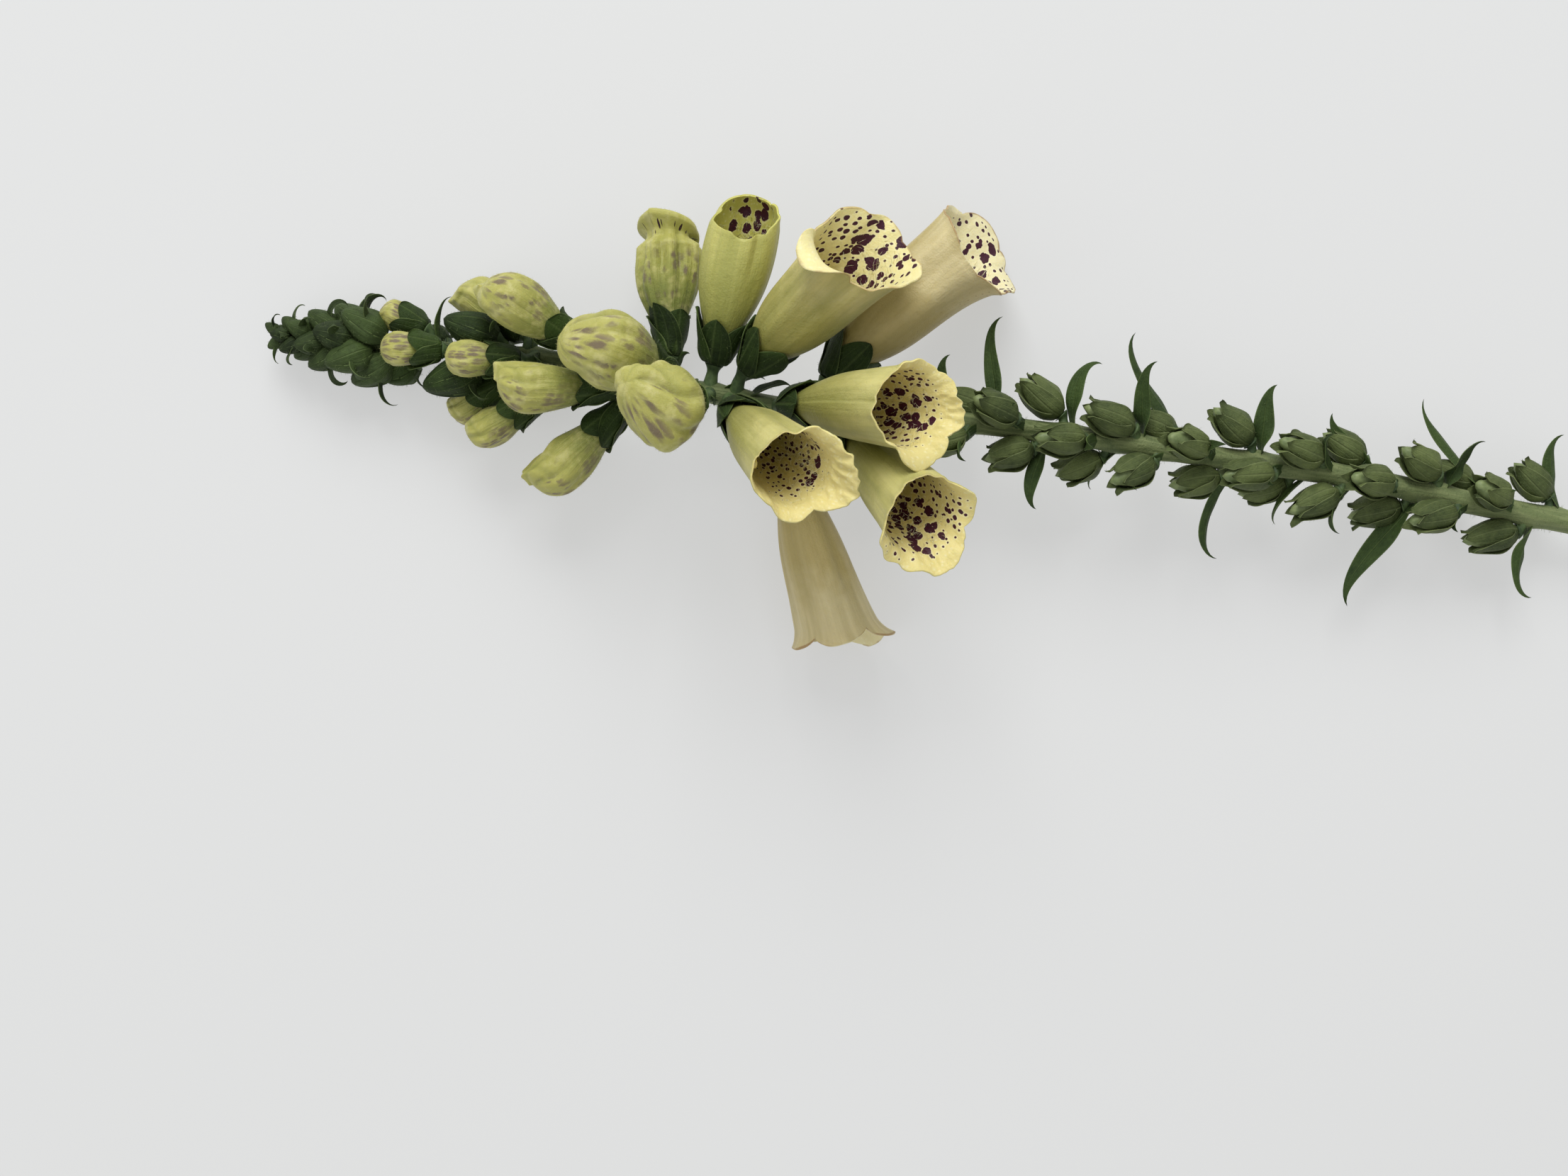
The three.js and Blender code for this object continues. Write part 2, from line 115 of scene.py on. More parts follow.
BELLS = table("name age x az lean roll pedicel tube belly flare curl bend slant", [
    ("bell_upper_young", "young", 101, 14, 92, 85, 4, 30.5, 8.3, -0.5, -20, 0, 0.08),
    ("bell_upper_open", "ripe", 107, 30, 122, 45, 5, 36, 8.8, 1.4, 10, 5, 0.14),
    ("bell_upper_faded", "faded", 125.5, -2, 124, 35, 5, 43, 9.0, 2.0, 15, 16, 0.15),
    ("bell_front_upper", "fresh", 117, 88, 131, 5, 5, 36, 8.0, 0.7, 12, 6, 0.06),
    ("bell_front_middle", "fresh", 106, 111, 118, -15, 6, 35.5, 7.7, 0.7, 10, 5, 0.06),
    ("bell_front_lower", "fresh", 130, 122, 118, -70, 5, 34.5, 7.9, 0.9, 15, 5, 0.06),
    ("bell_lower_faded", "faded", 118, 191.5, 114, -60, 5, 43, 8.0, 1.2, 5, 6, 0.06),
])
# The rim of each bell. Lobes: the angle from the lower lip, half the width, the length and how far it
# turns out, in degrees. Creases: angle, half the width, share of the tube and depth. Marks: how far
# the blotches run on to the lip and into the tube, and how far in the dots run. Crinkle and pleats
# are the heights of the folds of the lip and of the tube. Swell is the share of the tube where it has
# widened by most, slant_at the angle of the rim's longest side and marks_at the angle that the
# markings lie round.
USUAL_RIM = dict(swell=0.42, slant_at=0, marks_at=0, creases=())
RIMS = {
    "bell_upper_young": dict(
        lobes=((0, 75, 4.6, -50), (75, 35, 1.2, -20), (-85, 40, 2.2, 20), (-166, 20, -1.1, 0)),
        creases=((-140, 9, 0.93, 0.9), (150, 8, 0.95, 0.6)),
        marks=(8, 8, -20), crinkle=0.1, pleats=0.15),
    "bell_upper_open": dict(
        lobes=((0, 60, 1, -15), (62, 45, 3, 0), (105, 36, 1.6, -10), (-60, 45, 3, 15),
               (-172, 40, 6.5, 150)),
        creases=((-150, 10, 0.85, 0.9), (165, 9, 0.85, 0.7)),
        marks=(5, 14, 26), crinkle=0.25, pleats=0.25, swell=0.32, marks_at=28),
    "bell_upper_faded": dict(
        lobes=((5, 42, 5, 25), (66, 38, 6, 10), (150, 42, -0.8, 20), (-60, 30, 1.5, 10),
               (-150, 26, 0.8, 20)),
        marks=(6, 9, 18), crinkle=0.2, pleats=0.4, swell=0.3, slant_at=72, marks_at=25),
    "bell_front_upper": dict(
        lobes=((0, 55, 4.5, 12), (72, 48, 1.6, 65), (-78, 46, 4.2, 75), (150, 40, 1.2, 0),
               (-150, 40, 1.2, 0)),
        creases=((96, 9, 0.95, 0.8), (-110, 9, 0.95, 0.6)),
        marks=(1, 11, 30), crinkle=0.7, pleats=0.25),
    "bell_front_middle": dict(
        lobes=((20, 62, 6.5, 20), (88, 34, 1.5, 50), (-72, 56, 2.4, 35), (144, 40, 1.2, 0),
               (-144, 40, 1.2, 0)),
        creases=((-105, 9, 0.95, 0.7), (112, 10, 0.95, 0.8)),
        marks=(-2, 4, 30), crinkle=0.8, pleats=0.25, marks_at=10),
    "bell_front_lower": dict(
        lobes=((0, 50, 5.5, 10), (76, 38, 2.2, 60), (-72, 42, 2, 60), (-144, 40, 1.2, 10)),
        creases=((110, 9, 0.95, 0.7),),
        marks=(3, 12, 30), crinkle=0.4, pleats=0.2),
    "bell_lower_faded": dict(
        lobes=((0, 46, 6, -8), (70, 36, 4, 40), (-74, 38, 2.5, -25), (144, 38, 3, 40),
               (-144, 38, 3, 40)),
        creases=((170, 9, 0.7, 0.8), (110, 9, 0.7, 0.8)),
        marks=(3, 9, 20), crinkle=0.3, pleats=0.3),
}
for bell in BELLS:
    bell.update(USUAL_RIM)
    bell.update(RIMS[bell["name"]])

# Bracts that stand clear of the stem, by the number of their pod: az, length, width, lean, curl
# and twist.
CLEAR_BRACTS = {
    2: (10, 13, 3.6, 60, 40, 60),
    4: (-14, 23, 4.0, 74, 20, 60),
    6: (176, 15, 4.2, 70, 30, -60),
    7: (4, 16, 4.2, 80, 65, 55),
    10: (20, 17, 4.0, 70, 30, 80),
    12: (-10, 27, 4.4, 44, 22, -60),
    14: (184, 21, 4.4, 62, 60, 50),
    15: (12, 15, 5.0, 82, 10, 75),
    17: (195, 12, 3.6, 50, 40, 0),
    20: (0, 16, 4.2, 30, 15, 60),
    22: (186, 27, 5.4, 58, 15, -70),
    23: (22, 13, 4.0, 92, 40, 130),
    25: (-12, 25, 4.2, 40, 5, -60),
    27: (180, 17, 4.2, 75, 60, 60),
    28: (6, 17, 4.2, 60, 45, -70),
}


def tip_buds():
    """The closed buds of the tip, on a spiral whose pitch grows with the square of their number.
    Those under the stem are shorter and lean less, and so do their bracts."""
    places = []
    for k in range(TIP_BUDS):
        x = 0.6 + 0.85 * k + 0.018 * k * k
        az = 40 + GOLDEN_ANGLE * k
        below = min(0, np.sin(np.radians(az)))
        length = min(10, 3.2 + 0.28 * x) * (1.15 + 0.15 * below)
        places.append(dict(x=x, az=az, lean=36 + 9 * below, pedicel=0.06 * x, length=length,
                           radius=0.36 * length, leaf=2.3 + (1.3 + 0.6 * below) * length))
    return places


def pod_places():
    """The pods of the lower stem, at even steps, turned to the upper three quarters of it."""
    places = []
    for k in range(PODS):
        turn = (GOLDEN_ANGLE * k + 180) % 360 - 180
        places.append(dict(x=POD_START + POD_STEP * k, az=90 + 0.78 * turn, pedicel=1.6,
                           lean=27 + 9 * np.sin(3 * k), length=11.5 + np.sin(4 * k), radius=3.8))
    return places


tips = tip_buds()
pods = pod_places()

# ---- Arithmetic on arrays ----


def smooth(value, low, high):
    """0 below low, 1 above high, and 3t^2 - 2t^3 between them."""
    t = np.clip((value - low) / (high - low), 0, 1)
    return t * t * (3 - 2 * t)


def unit(vectors):
    """Vectors made one long."""
    return vectors / np.linalg.norm(vectors, axis=-1, keepdims=True)


def stack(*parts):
    """Coordinates put side by side, after they are spread to one shape."""
    return np.stack(np.broadcast_arrays(*parts), -1)


def hump(value, centre, width):
    """A bell curve, 1 at the centre and 0.37 at a width from it."""
    return np.exp(-(((value - centre) / width) ** 2))


def around(turn, centre, width):
    """A bell curve over an angle, which goes on past half a turn."""
    return hump((turn - centre + np.pi) % (2 * np.pi) - np.pi, 0, width)


def ripple(a, b, seed):
    """Soft noise between about -1 and 1: a sum of six sine waves in two variables, with drawn
    directions and phases."""
    draw = np.random.default_rng(seed)
    waves = 6
    total = 0
    for _ in range(waves):
        fa, fb = draw.uniform(-1, 1, 2)
        total = total + np.sin(fa * a + fb * b + draw.uniform(0, 2 * np.pi))
    return total / np.sqrt(waves)


def turns(count):
    """Angles once round a petal from its upper side, in equal steps, with the seam at both ends."""
    return np.linspace(-np.pi, np.pi, count + 1)


def rings(turn, radius, along, shift=0.0):
    """Points round an axis: at an angle, a distance off it and a height, moved sideways by shift."""
    return stack(radius * np.cos(turn) + shift, radius * np.sin(turn), along)


def rings_on(route, side, over, radius, turn):
    """Points round a route, at a radius from it, at angles from its side way to its way over."""
    across = side[:, None] * np.cos(turn)[:, None] + over[:, None] * np.sin(turn)[:, None]
    return route[:, None] + radius[..., None] * across


def petal_map(turn, distance):
    """Map of a petal: the way round it from its lower lip, and the distance up it."""
    return stack(0.5 + turn * RING_SCALE / MAP_SIZE, distance / MAP_SIZE)


# ---- Stem route and the seat of a flower ----

KNOTS = np.array([(STEP * i, y, z) for i, (y, z) in enumerate(zip(SWAY, RISE))], float)
KNOTS = np.vstack([2 * KNOTS[0] - KNOTS[1], KNOTS, 2 * KNOTS[-1] - KNOTS[-2]])


def stem_at(x, az):
    """Axis point, direction to the tip, way out and side way, on a Catmull-Rom curve by its knots."""
    x, az = np.broadcast_arrays(np.asarray(x, float), np.radians(az))
    steps = np.clip(x / STEP, 0, len(SWAY) - 1)
    i = np.minimum(steps.astype(int), len(SWAY) - 2)
    w = (steps - i)[..., None]
    before, start, end, after = (KNOTS[i + n] for n in range(4))
    go, come = (end - before) / 2, (after - start) / 2
    square = -3 * start + 3 * end - 2 * go - come
    cube = 2 * start - 2 * end + go + come
    point = start + go * w + square * w**2 + cube * w**3
    tipward = -unit(go + 2 * square * w + 3 * cube * w**2)
    out = np.stack([np.zeros_like(az), np.cos(az), np.sin(az)], -1)
    out = unit(out - tipward * (out * tipward).sum(-1, keepdims=True))
    return point, tipward, out, np.cross(out, tipward)


def stem_radius(x):
    """Radius of the stem, which grows from the tip and levels off."""
    return STEM_TIP + STEM_GAIN * (1 - np.exp(-np.asarray(x, float) / GAIN_LENGTH))


def seat(flower):
    """Origin and axes of a flower: X to its lower lip, Z along it, origin on its calyx's floor."""
    point, tipward, out, _ = stem_at(flower["x"], flower["az"])
    lean = np.radians(flower["lean"])
    roll = np.radians(flower.get("roll", 0))
    along = tipward * np.cos(lean) + out * np.sin(lean)
    belly = out * np.cos(lean) - tipward * np.sin(lean)
    belly = belly * np.cos(roll) + np.cross(along, belly) * np.sin(roll)
    reach = stem_radius(flower["x"]) + 0.55 * flower["pedicel"]
    origin = point + out * reach + along * 0.45 * flower["pedicel"]
    return origin, np.stack([belly, np.cross(along, belly), along])


def place(flower, points):
    """Takes points from a flower's own frame to the frame of the spike."""
    origin, axes = seat(flower)
    return origin + points @ axes


def placed(flower, made):
    """A skin that is made in a flower's own frame, moved to the frame of the spike."""
    made["corners"] = place(flower, made["corners"])
    return made


# ---- Skins: closed surfaces of rings ----


def skin(points, uv, **marks):
    """Closed skin of rings: quads join each ring to the next one, and the first and the last ring
    shrink to a pole at their middle. The last column of points, uv and marks repeats the first, for
    the seam."""
    points = points[:, :-1]
    rows, ring = points.shape[:2]
    corners = np.vstack([points[1:-1].reshape(-1, 3), points[0].mean(0), points[-1].mean(0)])
    j = np.arange(ring)
    k = (j + 1) % ring
    first = (np.arange(rows - 3) * ring)[:, None]
    quads = np.stack([first + j, first + k, first + ring + k, first + ring + j], -1)
    last = (rows - 3) * ring
    low, high = rows * ring - 2 * ring, rows * ring - 2 * ring + 1
    fans = np.concatenate([
        np.stack([np.full(ring, low), k, j], -1),
        np.stack([np.full(ring, high), last + j, last + k], -1),
    ])
    inner = uv[1:-1]
    quad_uv = np.stack([inner[:-1, :-1], inner[:-1, 1:], inner[1:, 1:], inner[1:, :-1]], -2)
    pole = (uv[:, :-1] + uv[:, 1:]) / 2
    fan_uv = np.concatenate([
        np.stack([pole[0], inner[0, 1:], inner[0, :-1]], -2),
        np.stack([pole[-1], inner[-1, :-1], inner[-1, 1:]], -2),
    ])
    for name, mark in marks.items():
        mark = np.broadcast_to(mark, (rows, ring + 1))[:, :-1]
        marks[name] = np.concatenate([mark[1:-1].ravel(), [mark[0].mean()], [mark[-1].mean()]])
    a, b, c, d = (corners[quads[..., n].ravel()] for n in range(4))
    volume = (a * np.cross(b, c)).sum() + (a * np.cross(c, d)).sum()
    quads, quad_uv = quads.reshape(-1, 4), quad_uv.reshape(-1, 4, 2)
    if volume < 0:
        quads, quad_uv = quads[:, ::-1], quad_uv[:, ::-1]
        fans, fan_uv = fans[:, ::-1], fan_uv[:, ::-1]
    return dict(corners=corners, quads=quads, quad_uv=quad_uv, fans=fans, fan_uv=fan_uv, marks=marks)


def gather(skins):
    """Joins skins in one: corners in a row, with each skin's faces counted on from the last."""
    starts = np.cumsum([0] + [len(s["corners"]) for s in skins[:-1]])
    whole = {key: np.concatenate([s[key] for s in skins]) for key in ("corners", "quad_uv", "fan_uv")}
    for key in ("quads", "fans"):
        whole[key] = np.concatenate([s[key] + start for s, start in zip(skins, starts)])
    whole["marks"] = {
        name: np.concatenate([s["marks"][name] for s in skins]) for name in skins[0]["marks"]
    }
    return whole


def add_object(name, data):
    """New object in the scene."""
    made = bpy.data.objects.new(name, data)
    bpy.context.scene.collection.objects.link(made)
    return made


def make_piece(name, corners, faces, material, slot, nodes):
    """Puts corners and faces in one mesh, in metres in the frame, and gives the mesh. Faces come in
    arrays, one for those with as many corners each."""
    mesh = bpy.data.meshes.new(name)
    mesh.vertices.add(len(corners))
    mesh.vertices.foreach_set("co", ((corners + TIP) * 0.001).astype(np.float32).ravel())
    loops = np.concatenate([some.ravel() for some in faces])
    sizes = np.concatenate([np.full(len(some), some.shape[1]) for some in faces])
    mesh.loops.add(len(loops))
    mesh.loops.foreach_set("vertex_index", loops.astype(np.int32))
    mesh.polygons.add(len(sizes))
    mesh.polygons.foreach_set("loop_start", (np.cumsum(sizes) - sizes).astype(np.int32))
    mesh.update(calc_edges=True)
    mesh.materials.append(material)
    piece = add_object(name, mesh)
    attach(piece, "root")
    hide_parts(*nodes)
    return mesh


def skin_piece(name, skins, material, slot, *nodes):
    """One smooth piece of skins, with its map and its marks."""
    whole = gather(skins)
    faces = [whole["quads"], whole["fans"]]
    mesh = make_piece(name, whole["corners"], faces, material, slot, nodes)
    uv = np.concatenate([whole["quad_uv"].ravel(), whole["fan_uv"].ravel()])
    mesh.uv_layers.new(name="skin").data.foreach_set("uv", uv.astype(np.float32))
    for mark, values in whole["marks"].items():
        attribute = mesh.attributes.new(mark, "FLOAT", "POINT")
        attribute.data.foreach_set("value", values.astype(np.float32))
    mesh.shade_smooth()


def tube(route, radii, ring):
    """Tube along a route: rings across it, of the given radii."""
    heading = unit(np.gradient(route, axis=0))
    side = unit(np.cross(heading, [0.31, -0.24, 0.92]))
    over = np.cross(side, heading)
    length = np.concatenate([[0], np.cumsum(np.linalg.norm(np.diff(route, axis=0), axis=1))])
    turn = np.linspace(0, 2 * np.pi, ring + 1)
    uv = stack(np.linspace(0, 1, ring + 1) * 0.2, (length / 400)[:, None])
    return skin(rings_on(route, side, over, radii[:, None], turn), uv)


def ovoid(middle, axis, length, radius):
    """Egg on an axis: half an ellipse turned round it."""
    angle = np.linspace(0, np.pi, 9)[:, None]
    turn = np.linspace(0, 2 * np.pi, 13)
    side = unit(np.cross(axis, [0.3, 0.5, 0.81]))[None]
    route = middle - axis * (length * np.cos(angle))
    points = rings_on(route, side, np.cross(axis, side), radius * np.sin(angle), turn)
    return skin(points, stack(np.linspace(0, 0.1, 13), angle / 30))


def leaf_skin(mid, face, half, thick, lengths, tone):
    """Blade with a lens-shaped section: mid(t) is its middle surface for t from -1 to 1 across it,
    face(t) the way that its thickness goes, half half its width. The marks say how far along and
    across it a place is, and how light the blade is."""
    turn = np.linspace(0, 2 * np.pi, 17)
    across = np.cos(turn)
    depth = 0.5 * thick * np.sin(turn) * (0.25 + smooth(half, 0, 1.5))
    uv = stack(0.5 + across * half / MAP_SIZE, lengths / MAP_SIZE)
    points = mid(across) + depth[..., None] * face(across)
    return skin(points, uv, across=across, along=lengths / lengths[-1], tone=tone)


# ---- Corollas ----


def in_bell(bell, along, turn, radius):
    """Point at a distance along a tube, at an angle from its lower lip and off its axis, which bows
    as an arc of a circle."""
    bend = np.radians(bell["bend"])
    angle = bend * along / bell["tube"]
    if bend:
        x = bell["tube"] / bend * (1 - np.cos(angle))
        z = bell["tube"] / bend * np.sin(angle)
    else:
        x, z = 0 * along, along
    across = radius * np.cos(turn)
    return stack(x + across * np.cos(angle), radius * np.sin(turn),
                 z - across * np.sin(angle) + BUD_BASE)


def bell_radius(bell, share):
    """Neck, a swell that levels off past the middle, and a flare at the mouth."""
    swell = 1 - np.exp(-((np.maximum(0, share) / bell["swell"]) ** SWELL_POWER))
    return NECK + (bell["belly"] - NECK) * swell + bell["flare"] * share**6


def rim_of(bell, turn):
    """Reach of the rim past the mouth and how far it turns out, both a base value and a cosine hump
    for each lobe."""
    reach, curl = FRINGE + 0 * turn, bell["curl"] + 0 * turn
    for at, half, length, turn_out in bell["lobes"]:
        off = np.abs((np.degrees(turn) - at + 180) % 360 - 180) / half
        shape = np.cos(np.minimum(off, 1) * np.pi / 2)
        reach = reach + length * shape**0.7
        curl = curl + turn_out * shape**1.3
    return reach, curl


def bell_wall(bell, turn, share, past, depth):
    """Point of a bell's wall. It runs up the tube by share, then on over the lobes by past as an arc
    that turns out by the curl of each lobe, and depth is the distance in from the outer skin. Soft
    noise pleats the tube, ruffles the rim and crinkles the lower lip, and each crease is a sharp
    valley between two low banks."""
    mouth = bell["tube"] * (1 + bell["slant"] * np.cos(turn - np.radians(bell["slant_at"])))
    step, least_curl = 0.01, 2
    rate = (bell_radius(bell, share + step) - bell_radius(bell, share - step)) / (2 * step)
    slope = np.arctan(rate / mouth)
    whole, curl = rim_of(bell, turn)
    bow = np.radians(np.where(np.abs(curl) < least_curl, least_curl, curl)) / whole
    end = slope + bow * (past * whole)
    along = share * mouth + (np.sin(end) - np.sin(slope)) / bow + depth * np.sin(end)
    radius = bell_radius(bell, share) + (np.cos(slope) - np.cos(end)) / bow
    seed = len(bell["name"]) + int(bell["x"])
    ruffle = 0.45 * ripple(7 * turn, along * 0.15, seed)
    ruffle = ruffle + 0.18 * ripple(17 * turn, along * 0.5, seed + 1)
    ruffle = smooth(share, 0.75, 1.0) * (0.25 + 0.75 * past) * ruffle
    rough = ripple(30 * turn, along * 1.1, seed + 2) + 0.6 * ripple(52 * turn, along * 2.2, seed + 3)
    lip = np.radians(bell["lobes"][0][0])
    crinkle = bell["crinkle"] * 0.45 * rough * around(turn, lip, 0.8) * smooth(past, 0, 0.4)
    pleats = ripple(9 * turn, share * 1.5, seed + 4) * smooth(share, 0.15, 0.6) * bell["pleats"]
    for at, half, where, fold in bell["creases"]:
        valley, banks = (around(turn, np.radians(at), np.radians(n * half)) for n in (1, 3))
        pleats = pleats - fold * (valley - 0.5 * banks) * hump(share, where, 0.16)
    shift = ruffle + crinkle + pleats - depth * np.cos(end)
    return in_bell(bell, along, turn, radius + shift)


def corolla(bell):
    """Skin of a bell: up the outside, round the rim and down the inside to the neck. Its marks say
    where the inside, the edge, the lower lip, the dots and the blotches are, and how far up a place
    is."""
    turn = turns(160)
    tube_rows = np.concatenate([[0, 0.012], np.linspace(0.03, 1, 42)])
    lobe_rows = np.linspace(0, 1, 23)[1:]
    none = 0 * tube_rows
    share = np.concatenate([tube_rows, np.ones(2 * len(lobe_rows) + 3), tube_rows[::-1]])[:, None]
    past = np.concatenate([none, lobe_rows, [1, 1, 1], lobe_rows[::-1], none])[:, None]
    outside = len(tube_rows) + len(lobe_rows)
    depth = np.full(share.shape, PETAL)
    depth[:outside] = 0
    depth[outside:outside + 3, 0] = PETAL * np.array([0.2, 0.5, 0.8])
    points = bell_wall(bell, turn, share, past, depth)
    distance = share * bell["tube"] + past * rim_of(bell, turn)[0]
    lip_end, blots_in, dots_in = bell["marks"]
    deep = bell["tube"] - distance
    wide = np.abs(turn - np.radians(bell["marks_at"]))
    dots = smooth(deep, -lip_end - 1, 3 - lip_end) * (1 - smooth(deep, dots_in, dots_in + 6))
    blots = smooth(deep, -lip_end, 2 - lip_end) * (1 - smooth(deep, blots_in, blots_in + 5))
    inner = np.arange(len(share))[:, None] > outside
    return skin(points, petal_map(turn, distance), share=share, inner=inner,
                dots=dots * (1 - smooth(wide, 1.1, 1.8)), blots=blots * (1 - smooth(wide, 0.4, 0.95)),
                edge=smooth(past, 0.7, 1), lower=around(turn, 0, 0.8))


def stamen(bell, off, length):
    """Filament along the upper wall, and the two lobes of its anther."""
    turn = np.pi + np.radians(off)
    s = np.linspace(0.1, length, 16)
    radius = bell_radius(bell, s) - PETAL - 0.2 - 1.6 * smooth(s, 0.1, length)
    route = in_bell(bell, s * bell["tube"], turn, radius)
    parts = [tube(route, 0.42 - 0.12 * s, 8)]
    heading = unit(route[-1] - route[-3])
    side = unit(np.cross(heading, [np.cos(turn), np.sin(turn), 0]))
    for hand in (-1, 1):
        middle = route[-1] + heading * 0.6 + side * hand * 0.75
        parts.append(ovoid(middle, unit(heading * 0.5 + side * hand), 1.25, 0.72))
    return parts


def pistil(bell):
    """Ovary, style and two-lobed stigma along the upper side of a bell: a tube whose radius swells
    over the ovary, and again at the stigma."""
    s = np.array([0, 0.01, 0.04, 0.09, 0.14, 0.18, 0.22, 0.3, 0.4, 0.5, 0.6, 0.7, 0.78, 0.8])
    thick = np.array([0.1, 1.1, 1.3, 1.2, 0.9, 0.55, 0.36, 0.3, 0.28, 0.28, 0.3, 0.34, 0.45, 0.1])
    off = 0.5 * smooth(s, 0.1, 0.6) * bell_radius(bell, s)
    route = in_bell(bell, s * bell["tube"], np.pi, off)
    route[:, 2] -= 0.4 * (1 - smooth(s, 0, 0.1))
    return placed(bell, tube(route, thick, 10))


def bud_radius(flower, share):
    """Narrow base, widest at about two thirds, and a blunt end, which is rounder on the fat buds."""
    swell = BUD_NECK + (flower["radius"] - BUD_NECK) * smooth(share, 0, 0.68)
    begin = 0.66 if flower["radius"] > FAT_BUD else 0.78
    end = np.maximum(0, (share - begin) / (1 - begin))
    return swell * (1 - 0.1 * smooth(share, 0.66, 1)) * np.sqrt(np.maximum(0, 1 - end**2.4))


# Where the lobes of a closed corolla meet, in radians, and the valleys of a fat bud: angle, share of
# its length, and depth for a radius of 6 mm.
LOBE_SEAMS = (-2.1, -1.15, 1.15, 2.1)
VALLEYS = ((0.25, 0.74, 0.9), (1.15, 0.8, 0.7), (-0.75, 0.82, 0.6), (2.3, 0.7, 0.5))


def closed_corolla(flower, seed):
    """Bud of a bell. The lower lobe is a hood that closes over the end, so the place where the lobes
    meet moves to the upper side by hood, and the hood's corner stands out there by horn. Creases run
    up between the lobes, soft folds lie over its body, and a fat bud has valleys along it."""
    turn = turns(112)
    share = (1 - np.cos(np.linspace(0, np.pi, 84)))[:, None] / 2
    size, hood = flower["radius"] / 6, flower["hood"]
    lobe = turn + 0.1 * np.sin(5 * share)
    crease = sum(around(lobe, at, 0.16) for at in LOBE_SEAMS)
    crease = crease * smooth(share, 0.5, 0.85) * (1 - 0.5 * smooth(share, 0.95, 1))
    seam = hump(share, 0.84 - 0.05 * np.cos(turn), 0.035) * smooth(np.abs(turn), 0.9, 1.6)
    body = smooth(share, 0.35, 0.65) * (1 - smooth(share, 0.95, 1))
    fold = ripple(5 * turn, 12 * share, seed) + 0.7 * ripple(11 * turn, 9 * share, seed + 50)
    horn = around(turn, np.pi - 0.35, 0.6) * hump(share, 0.92, 0.07) * flower["horn"]
    bent = turn + 0.5 * (share - 0.7)
    valley = hood * sum(
        deep * around(bent, at, 0.15) * hump(share, where, 0.17) for at, where, deep in VALLEYS
    )
    radius = bud_radius(flower, share) * (1 + 0.06 * np.cos(turn) * share)
    radius = radius + size * (0.28 * fold * body - 0.35 * crease - 0.35 * seam - valley + 0.6 * horn)
    lift = (0.3 * hood - 0.04) * radius * np.cos(turn) * smooth(share, 0.4, 0.9) + 3.0 * size * horn
    along = BUD_BASE + share * (flower["length"] - BUD_BASE) + lift
    shift = -0.75 * hood * flower["radius"] * smooth(share, 0.7, 1) ** 1.5
    points = rings(turn, np.maximum(radius, 0.01), along, shift)
    smudge = smooth(share, 0.3, 0.6) * (1 - smooth(share, 0.93, 1))
    return skin(points, petal_map(turn, share * flower["length"]), share=share, crease=crease + seam,
                smudge=smudge * (1 - smooth(np.abs(turn), 1.0, 1.9)), dash=0.0)


def opening_bud(flower, seed):
    """Bud that starts to open: a vase with pleats up to its narrow neck, and a tilted cap, the lower
    lobe, that still covers its mouth. A ring of short dashes shows under the cap."""
    turn = turns(128)
    share = np.concatenate([np.linspace(0, 0.78, 48), np.linspace(0.78, 1, 52)[1:]])[:, None]
    size = flower["radius"]
    radius = BUD_NECK + (size - BUD_NECK) * smooth(share, 0, 0.66)
    radius = radius - 0.3 * size * smooth(share, 0.78, 0.87) + 0.27 * size * smooth(share, 0.88, 0.92)
    radius = radius * np.sqrt(np.maximum(0, 1 - np.maximum(0, (share - 0.93) / 0.07) ** 2.5))
    body = smooth(share, 0.1, 0.5) * (1 - smooth(share, 0.78, 0.86))
    pleat = sum(around(turn, at, 0.17) for at in (2.8, -2.75, -2.05, -1.2)) * hump(share, 0.72, 0.15)
    fold = ripple(5 * turn, 9 * share, seed) + 0.6 * ripple(12 * turn, 8 * share, seed + 50)
    cap = smooth(share, 0.86, 0.92)
    radius = radius - 1.5 * pleat + 0.55 * fold * body
    radius = np.maximum(radius + 0.3 * ripple(4 * turn, 2 * share, seed + 9) * cap, 0.01)
    along = BUD_BASE + share * (flower["length"] - BUD_BASE) - 0.36 * radius * np.cos(turn) * cap
    smudge = smooth(share, 0.2, 0.5) * (1 - smooth(share, 0.7, 0.8))
    return skin(rings(turn, radius, along), petal_map(turn, share * flower["length"]),
                share=share * 0.9, crease=np.minimum(1, pleat), dash=hump(share, 0.885, 0.014),
                smudge=smudge * smooth(np.cos(turn + 2.2), -0.2, 0.6))


# ---- Green pieces ----


def stem_skin():
    """Stem: rings along its route, with five low ridges, swollen where each flower leaves it, and
    with a flat cut end."""
    x = np.concatenate([np.linspace(-0.4, STEM_LENGTH, 420), [STEM_LENGTH, STEM_LENGTH]])
    route, _, out, side = stem_at(x, 90)
    x = x[:, None]
    turn = np.linspace(0, 2 * np.pi, 33)
    radius = stem_radius(np.maximum(x, 0)) * (1 - 0.14 * smooth(x, 90, 170))
    radius = radius * (1 + 0.035 * np.cos(5 * turn + 0.02 * x))
    for flower in BUDS + BELLS + pods:
        knob = around(np.pi - turn, np.radians(flower["az"]), 0.6)
        radius = radius + 0.55 * hump(x, flower["x"] + 1.2, 2.4) * knob
    radius[0] = 0.05
    radius[-2:] = radius[-3] * np.array([[0.75], [0.05]])
    return skin(rings_on(route, side, out, radius, turn), stack(turn / 40, x / 400),
                cut=np.arange(len(x))[:, None] >= len(x) - 2, along=x / STEM_LENGTH)


